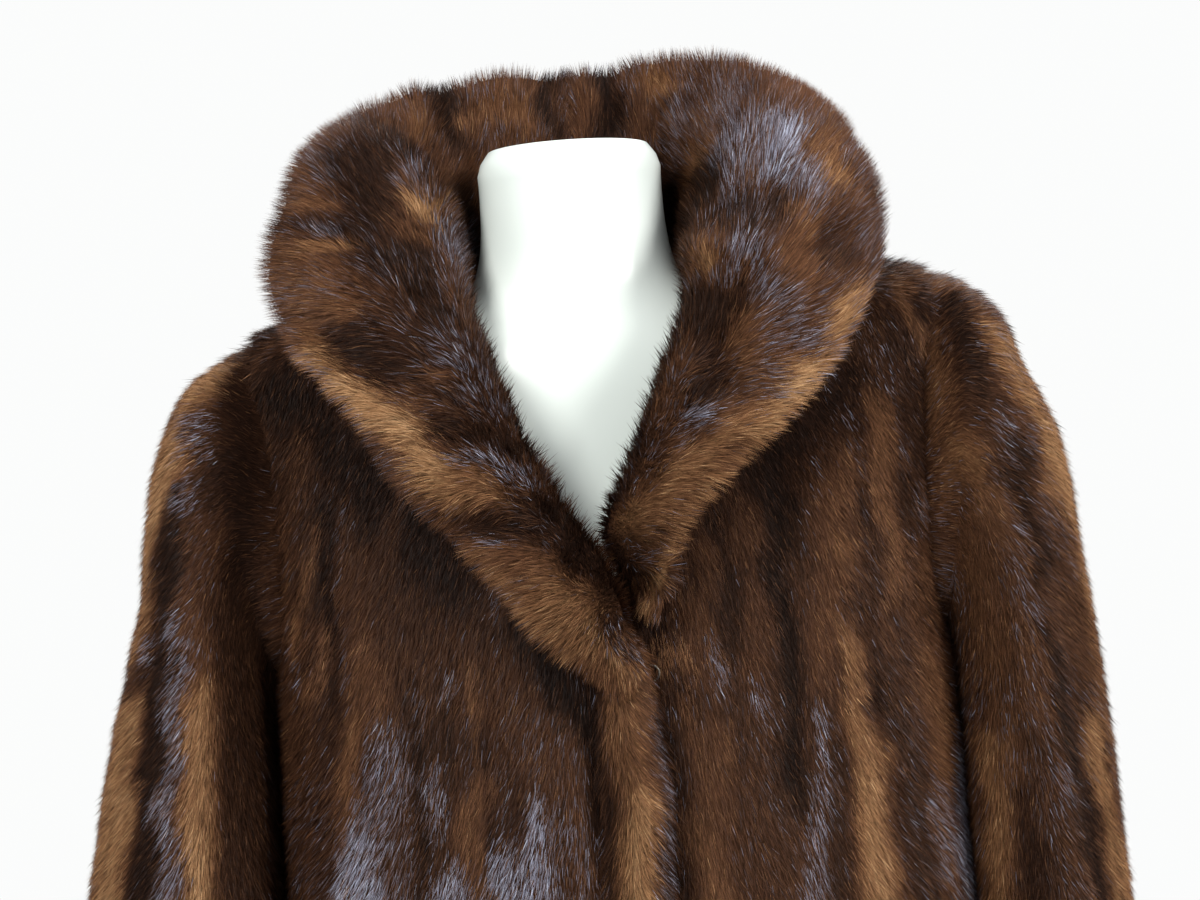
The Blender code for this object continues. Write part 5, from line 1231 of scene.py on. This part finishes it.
def find_room(name):
    skin = skins[name]
    rows = np.unique(np.append(np.arange(0, skin.base.shape[0], 2), skin.base.shape[0] - 1))
    columns = np.arange(0, skin.base.shape[1], 2) if skin.closed else np.unique(np.append(np.arange(0, skin.base.shape[1], 2), skin.base.shape[1] - 1))
    others = [tree for other, tree in trees.items() if other.replace("_under", "") != skin.node]
    if "_under" in name:
        others = [tree for other, tree in trees.items() if not other.startswith("collar")]
    found = np.full((len(rows), len(columns)), 0.04)
    p, n = (skin.base + skin.n * 0.0006)[np.ix_(rows, columns)].tolist(), skin.n[np.ix_(rows, columns)].tolist()
    for a in range(len(rows)):
        for b in range(len(columns)):
            for tree in others:
                hit = tree.ray_cast(p[a][b], n[a][b], 0.04)
                if hit[3] is not None and hit[3] < found[a, b]:
                    found[a, b] = hit[3]
    low = np.minimum(found, np.minimum(np.roll(found, 1, 0), np.roll(found, -1, 0)))
    low = np.minimum(low, np.minimum(np.roll(found, 1, 1), np.roll(found, -1, 1)))
    found = 0.5 * (found + low)
    full = np.array([np.interp(np.arange(skin.base.shape[0]), rows, found[:, b]) for b in range(len(columns))]).T
    if skin.closed:
        wrap = np.concatenate([full, full[:, :1]], 1)
        return np.array([np.interp(np.arange(skin.base.shape[1]), np.append(columns, skin.base.shape[1]), r) for r in wrap])
    return np.array([np.interp(np.arange(skin.base.shape[1]), columns, r) for r in full])


def out_of_plane(skin, vector):
    v = vector - skin.n * (vector * skin.n).sum(-1, keepdims=True)
    return v


MARKED = ("front_left", "front_right", "sleeve_left", "sleeve_right", "collar_left", "collar_right", "front_band")
for name, skin in skins.items():
    rows, columns = skin.base.shape[:2]
    skin.marked = name in MARKED
    skin.base_n = skin.n.copy()
    part_ = name.split("_")[0]
    if part_ in SINK:
        outer = np.sign(skin.base[..., 0]) * skin.n[..., 0]
        skin.base = skin.base - skin.n * (SINK[part_] * ease((outer - 0.1) / 0.6))[..., None]
    skin.room = find_room(name)
    i, j = np.meshgrid(np.arange(rows) / (rows - 1), np.arange(columns) / (columns if skin.closed else columns - 1), indexing="ij")
    part_ = name.split("_")[0]
    if part_ in ("front", "coat") and name != "front_band":
        angle = np.degrees(np.arctan2(skin.base[..., 0] - CENTRE_X, -(skin.base[..., 1] - 0.01)))
        skin.column = angle / 9.6
    elif part_ == "sleeve":
        skin.column = j * 11.0
        skin.column = np.where(j > 0.5, 11 * (1 - j), skin.column)
    elif part_ == "collar":
        skin.column = i * 13.0 + 0.6 * j if name.endswith("_under") else j * 5.0 + 0.3
    else:
        skin.column = 0.1 + 0 * j
    tone, silver_and_sheen = tones(skin, skin.base, skin.n, skin.column)
    level = tone * (1 - silver_and_sheen) + 0.72 * silver_and_sheen
    for _ in range(3):
        level = skin.blur(level)
    side_on = np.abs((skin.n * unit(EYE - skin.base)).sum(-1))
    level = 0.35 + (level - 0.35) * (0.25 + 0.75 * ease(side_on / 0.45))
    rise = RELIEF[part_][0] + RELIEF[part_][1] * (level - 0.35)
    if part_ == "sleeve":
        rise = rise * (0.75 + 0.25 * ease(i / 0.10))
        tall_ = skin.base[..., 2]
        rise = rise + 0.0034 * ease((tall_ - 1.345) / 0.05) * (1 - ease((i - 0.02) / 0.06))
        rise = rise + 0.0022 * ease((tall_ - 1.345) / 0.05) * (1 - ease(i / 0.045))
        outer = ease((skin.n @ unit(np.array([1.0 if "left" in name else -1.0, 0.0, 0.55])) - 0.15) / 0.6)
        rise = rise + 0.0054 * outer * ease((tall_ - 1.225) / 0.08) * ease((i - 0.045) / 0.04)
    if part_ in ("front", "coat") and name != "front_band":
        above = ease((1.20 - skin.base[..., 2]) / 0.02)
        to_side = j if part_ == "front" else 1 - 2 * np.abs(j - 0.5)
        near_seam = ease((1 - to_side) / 0.10) if part_ == "front" else ease(to_side / 0.08)
        rise = rise * (0.75 + 0.25 * np.maximum(near_seam, above))
        across_x = skin.base[..., 0]
        crown = ease((skin.base[..., 2] - ridge(across_x) + 0.050) / 0.035)
        rise = rise + 0.0105 * crown * ease((0.248 - np.abs(across_x - CENTRE_X)) / 0.05)
    if part_ == "collar" and not name.endswith("_under"):
        seen = view_plane(skin.base)
        for a, b, wide, depth in PUCKERS:
            a, b = np.asarray(a), np.asarray(b)
            t = np.clip(((seen - a) @ (b - a)) / ((b - a) @ (b - a)), 0, 1)
            away = np.linalg.norm(seen - a - t[..., None] * (b - a), axis=-1) * 1000 / wide
            rise = rise - depth / 1000 * (np.exp(-(away**2)) - 0.35 * np.exp(-((away - 2.2) ** 2)))
        tip = np.linalg.norm(seen - np.array(V_TIP), axis=-1)
        rise = rise + 0.0075 * np.exp(-((tip / 0.024) ** 2))
        rise = rise * (1 - 0.55 * ease((i - 0.885) / 0.09))
    if part_ == "collar":
        rise = rise + (0.0038 - rise) * (1 - ease((i - 0.004) / 0.026))
    share = 0.38 + 0.0 * rise
    if part_ == "collar":
        share = 0.30 + (0.25 * np.exp(-((tip / 0.024) ** 2)) if not name.endswith("_under") else 0)
    elif part_ in ("front", "coat") and name != "front_band":
        share = 0.38 + 0.22 * crown
    rise = np.clip(np.minimum(rise, share * skin.room), 0.0002, None)
    skin.raise_by(rise)
    if part_ == "collar":
        behind = (1 - ease((i - 0.10) / 0.18)) * ease((skin.base[..., 2] - 1.485) / 0.05)
        skin.out = skin.out + (0.0055 * behind)[..., None] * np.array([0.0, 0.0, 1.0])
    skin.room = np.clip(skin.room - rise, 0.001, None)
    away = unit(EYE - skin.out)
    facing = (skin.n * away).sum(-1)
    z = skin.out[..., 2]
    vis = ease((facing + 0.30) / 0.35) * ease((z - 0.915) / 0.125)
    if name == "coat_back" or name.endswith("_under"):
        vis = vis * 0.0 + 0.12 * ease((z - 0.94) / 0.09)
    if name == "coat_back":
        vis = ease((facing + 0.60) / 0.25) * ease((z - 1.34) / 0.04)
    skin.fine = vis
    hidden = ease((skin.room - 0.004) / 0.012)
    looks = HAIR[part_ + ("_under" if name.endswith("_under") else "")]
    skin.density = (looks["few"] + (looks["many"] - looks["few"]) * vis) * (0.30 + 0.70 * hidden)
    skin.length = looks["long"][1] + (looks["long"][0] - looks["long"][1]) * vis
    skin.width = looks["wide"][1] + (looks["wide"][0] - looks["wide"][1]) * vis
    skin.lift = np.full((rows, columns), math.radians(looks["lift"])) * (0.68 + 0.32 * vis)
    if part_ == "collar":
        skin.density = skin.density * (1 + 0.9 * (1 - ease((i - 0.006) / 0.02)))
        inner_roll = ease((i - 0.35) / 0.15) * ease((0.62 - j) / 0.30)
        skin.lift = skin.lift * (1 - 0.45 * inner_roll)
        skin.length = skin.length * (1 - 0.25 * inner_roll)
    if part_ != "collar":
        skin.length = skin.length * (1 - 0.5 * ease((i - 0.965) / 0.03))
    skin.lean = looks["lean"]
    skin.shade_n = skin.n
    # the collar's upper face gets painted shade and painted sheen along its free edge
    skin.rim = part_ == "collar" and not name.endswith("_under")
    skin.sway = 0.20 if part_ == "collar" else 0.09
    down, across = skin.along(0), skin.along(1)
    if part_ == "collar":
        flow = across
        lapel = ease((i - 0.52) / 0.2)[..., None]
        rising = out_of_plane(skin, np.array([0.0, 0.0, 1.0]) + 0 * skin.n)
        share = 0.66 if "left" in name else 0.28
        flow = unit(flow * (1 - share * (1 - lapel)) + rising * share * (1 - lapel) + 1e-9)
        end = ease((i - 0.90) / 0.08)
        skin.length = skin.length * (1 - 0.35 * end)
        skin.lift = skin.lift * (1 - 0.35 * end)
        skin.flow = unit(flow + (unit(rising + 0.45 * flow + 1e-9) - flow) * lapel * 0.3 + 1e-9)
        falling = out_of_plane(skin, np.array([0.12 if "right" in name else -0.5, 0.0, -1.0]) + 0 * skin.n)
        skin.flow = unit(skin.flow + (unit(falling + 1e-9) - skin.flow) * end[..., None] * 0.9 + 1e-9)
        skin.flow = unit(skin.flow - 0.7 * (1 - ease(i / 0.020))[..., None] * unit(down) + 1e-9)
    elif part_ == "sleeve":
        side = 1.0 if "left" in name else -1.0
        skin.flow = unit(down + 0.42 * out_of_plane(skin, np.array([side, 0.0, 0.0]) + 0 * skin.n))
    elif name == "front_band":
        right = out_of_plane(skin, np.array([1.0, 0, 0]) + 0 * skin.n)
        skin.flow = unit(down + 0.75 * ease((skin.base[..., 0] - 0.002) / 0.016)[..., None] * right + 1e-9)
    else:
        lean_out = np.sign(skin.base[..., 0] - CENTRE_X) * ease(np.abs(skin.base[..., 0] - CENTRE_X) / 0.05)
        spread_ = 0.17
        if part_ == "front":
            spread_ = 0.10 + 0.55 * (ease((j - 0.86) / 0.12) * ease((z - 1.20) / 0.03))[..., None]
        skin.flow = unit(down + spread_ * out_of_plane(skin, lean_out[..., None] * np.array([1.0, 0, 0])))
        top = ease((z - ridge(skin.base[..., 0]) + 0.020) / 0.022)[..., None]
        outward = unit(out_of_plane(skin, lean_out[..., None] * np.array([1.0, 0, 0]) + np.array([0, 0, -0.25])) + 1e-9)
        skin.flow = unit(skin.flow * (1 - 0.75 * top) + 0.75 * top * outward + 1e-9)
        skin.shade_n = unit(skin.n + top * np.array([0, -0.8, 1.1]))
    cell = cell_areas(skin)
    tall = np.linalg.norm(np.diff(skin.out, axis=0), axis=-1).mean()
    broad = np.linalg.norm(np.diff(skin.out, axis=1), axis=-1).mean()
    skin.tuft = (looks["tuft"] * 1.6 / tall, looks["tuft"] / broad)
    print("skin", name, "area", round(float(cell.sum()), 4), "hairs", int((cell * 0.25e6 * (skin.density[:-1] + skin.density[1:])[:, : cell.shape[1]] * 2).sum()))

hair, wool = hair_material(), skin_material()


total = 0
for k, (node, step) in enumerate((("front_left", (2, 2)), ("front_right", (2, 2)), ("coat_back", (2, 2)), ("sleeve_left", (2, 2)), ("sleeve_right", (2, 2)), ("collar_left", (3, 2)), ("collar_right", (3, 2)), ("front_band", (3, 2)))):
    skin = skins[node]
    if node.startswith("collar"):
        inner = skins[node + "_under"].out
    else:
        thick = COLLAR_WALL if node == "front_band" else WALL - 0.0004
        inner = skin.base - skin.base_n * thick
    ob = shell(node + "_pelts", skin, inner, wool, step)
    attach(ob, "root")
    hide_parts(node)
    furs = []
    for suffix, name in ((("", node), ("_under", node + "_under")) if node.startswith("collar") else (("", node),)):
        fur, count = grow(node + suffix + "_hair", skins[name], hair, 40 + 7 * k + len(furs))
        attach(fur, "root")
        furs.append(fur)
        total += count
print("hairs in all", total)

# ---------------------------------------------------------------- the form and its stand
rings = form_rings(110, 96)
count = rings.shape[0] * rings.shape[1]
faces = grid_faces(rings.shape[0], rings.shape[1], True, False)
caps = np.array([[0, 0, rings[0, 0, 2]], [0, 0, rings[-1, 0, 2]]])
last = (rings.shape[0] - 1) * rings.shape[1]
ring = np.arange(rings.shape[1])
fans = np.concatenate([np.stack([np.full_like(ring, count), ring, np.roll(ring, -1)], -1), np.stack([np.full_like(ring, count + 1), last + np.roll(ring, -1), last + ring], -1)])
triangles = np.concatenate([faces[:, [0, 1, 2]], faces[:, [0, 2, 3]], fans])
white = plain_material("milk_white", linear(209, 218, 212), linear(217, 224, 219), 6.0, 0.24, spread=0.03)
torso = mesh_object("dress_form_torso", np.concatenate([rings.reshape(-1, 3), caps]), triangles, white)
torso.data.set_sharp_from_angle(angle=math.radians(50))
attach(torso, "root")
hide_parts("form_torso")

steel = plain_material("brushed_steel", linear(128, 130, 132), linear(146, 148, 150), 14.0, 0.52, metallic=1.0, stretch=(1, 1, 0.08), spread=0.05)
metal = plain_material("bright_wire", linear(122, 118, 110), linear(142, 138, 130), 900.0, 0.34, metallic=1.0, spread=0.04)
for node, mat in (("form_pole", steel), ("form_base", steel), ("fur_hook", metal), ("hook_eye", metal)):
    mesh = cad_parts[node].data
    mesh.materials.clear()
    mesh.materials.append(mat)

# ---------------------------------------------------------------- floor, light, camera
bpy.ops.mesh.primitive_circle_add(vertices=96, radius=60.0, fill_type="NGON", location=(0, 0, 0))
floor = bpy.context.object
floor.name = "floor"
floor_mat = plain_material("pale_floor", linear(196, 198, 197), linear(202, 204, 203), 1.5, 0.7, specular=0.2)
nodes, links = floor_mat.node_tree.nodes, floor_mat.node_tree.links
place_, far_off, fade = nodes.new("ShaderNodeTexCoord"), nodes.new("ShaderNodeVectorMath"), nodes.new("ShaderNodeMapRange")
paper, seen_, both, mixed = nodes.new("ShaderNodeEmission"), nodes.new("ShaderNodeLightPath"), nodes.new("ShaderNodeMath"), nodes.new("ShaderNodeMixShader")
far_off.operation, both.operation, fade.interpolation_type = "LENGTH", "MULTIPLY", "SMOOTHSTEP"
fade.inputs["From Min"].default_value, fade.inputs["From Max"].default_value = 0.9, 4.2
paper.inputs["Color"].default_value = (0.968, 0.975, 0.972, 1)
links.new(place_.outputs["Object"], far_off.inputs[0])
links.new(far_off.outputs["Value"], fade.inputs["Value"])
links.new(fade.outputs["Result"], both.inputs[0])
links.new(seen_.outputs["Is Camera Ray"], both.inputs[1])
links.new(both.outputs["Value"], mixed.inputs["Fac"])
links.new(nodes["Principled BSDF"].outputs["BSDF"], mixed.inputs[1])
links.new(paper.outputs["Emission"], mixed.inputs[2])
links.new(mixed.outputs["Shader"], nodes["Material Output"].inputs["Surface"])
floor.data.materials.append(floor_mat)

world = bpy.data.worlds.new("studio")
bpy.context.scene.world = world
world.use_nodes = True
nodes, links = world.node_tree.nodes, world.node_tree.links
sky, glow, path, mix = nodes["Background"], nodes.new("ShaderNodeBackground"), nodes.new("ShaderNodeLightPath"), nodes.new("ShaderNodeMixShader")
sky.inputs["Color"].default_value, sky.inputs["Strength"].default_value = (0.968, 0.975, 0.972, 1), 1.0
glow.inputs["Color"].default_value, glow.inputs["Strength"].default_value = (0.95, 0.97, 1.0, 1), 0.66
links.new(path.outputs["Is Camera Ray"], mix.inputs["Fac"])
links.new(glow.outputs["Background"], mix.inputs[1])
links.new(sky.outputs["Background"], mix.inputs[2])
links.new(mix.outputs["Shader"], nodes["World Output"].inputs["Surface"])


def area_light(name, place_, aim, size, power, colour):
    data = bpy.data.lights.new(name, "AREA")
    data.shape, data.size, data.energy, data.color = "DISK", size, power, colour
    ob = bpy.data.objects.new(name, data)
    bpy.context.scene.collection.objects.link(ob)
    p, a = np.asarray(place_, float), np.asarray(aim, float)
    z = unit(p - a)
    x = unit(np.cross([0, 0, 1.0], z))
    y = np.cross(z, x)
    m = Matrix.Identity(4)
    for r in range(3):
        m[r][0], m[r][1], m[r][2], m[r][3] = x[r], y[r], z[r], p[r]
    ob.matrix_world = m
    return ob


area_light("key", (-1.3, -1.9, 3.0), (0, 0, 1.25), 1.1, 78, (1.0, 0.985, 0.96))
area_light("fill", (1.9, -1.6, 2.1), (0, 0, 1.2), 1.1, 66, (1.0, 0.985, 0.965))
area_light("rim", (0.5, 1.9, 2.9), (0, 0, 1.30), 1.4, 56, (0.90, 0.94, 1.0))

camera = bpy.data.cameras.new("camera")
camera.lens, camera.sensor_width, camera.sensor_fit = LENS, 36.0, "HORIZONTAL"
camera.dof.use_dof = False
view = bpy.data.objects.new("camera", camera)
bpy.context.scene.collection.objects.link(view)
view.matrix_world = Matrix.Translation(EYE.tolist()) @ Matrix.Rotation(math.radians(ROLL), 4, "Y") @ Matrix.Rotation(math.radians(90), 4, "X")
bpy.context.scene.camera = view
bpy.context.scene.view_settings.view_transform = "Standard"
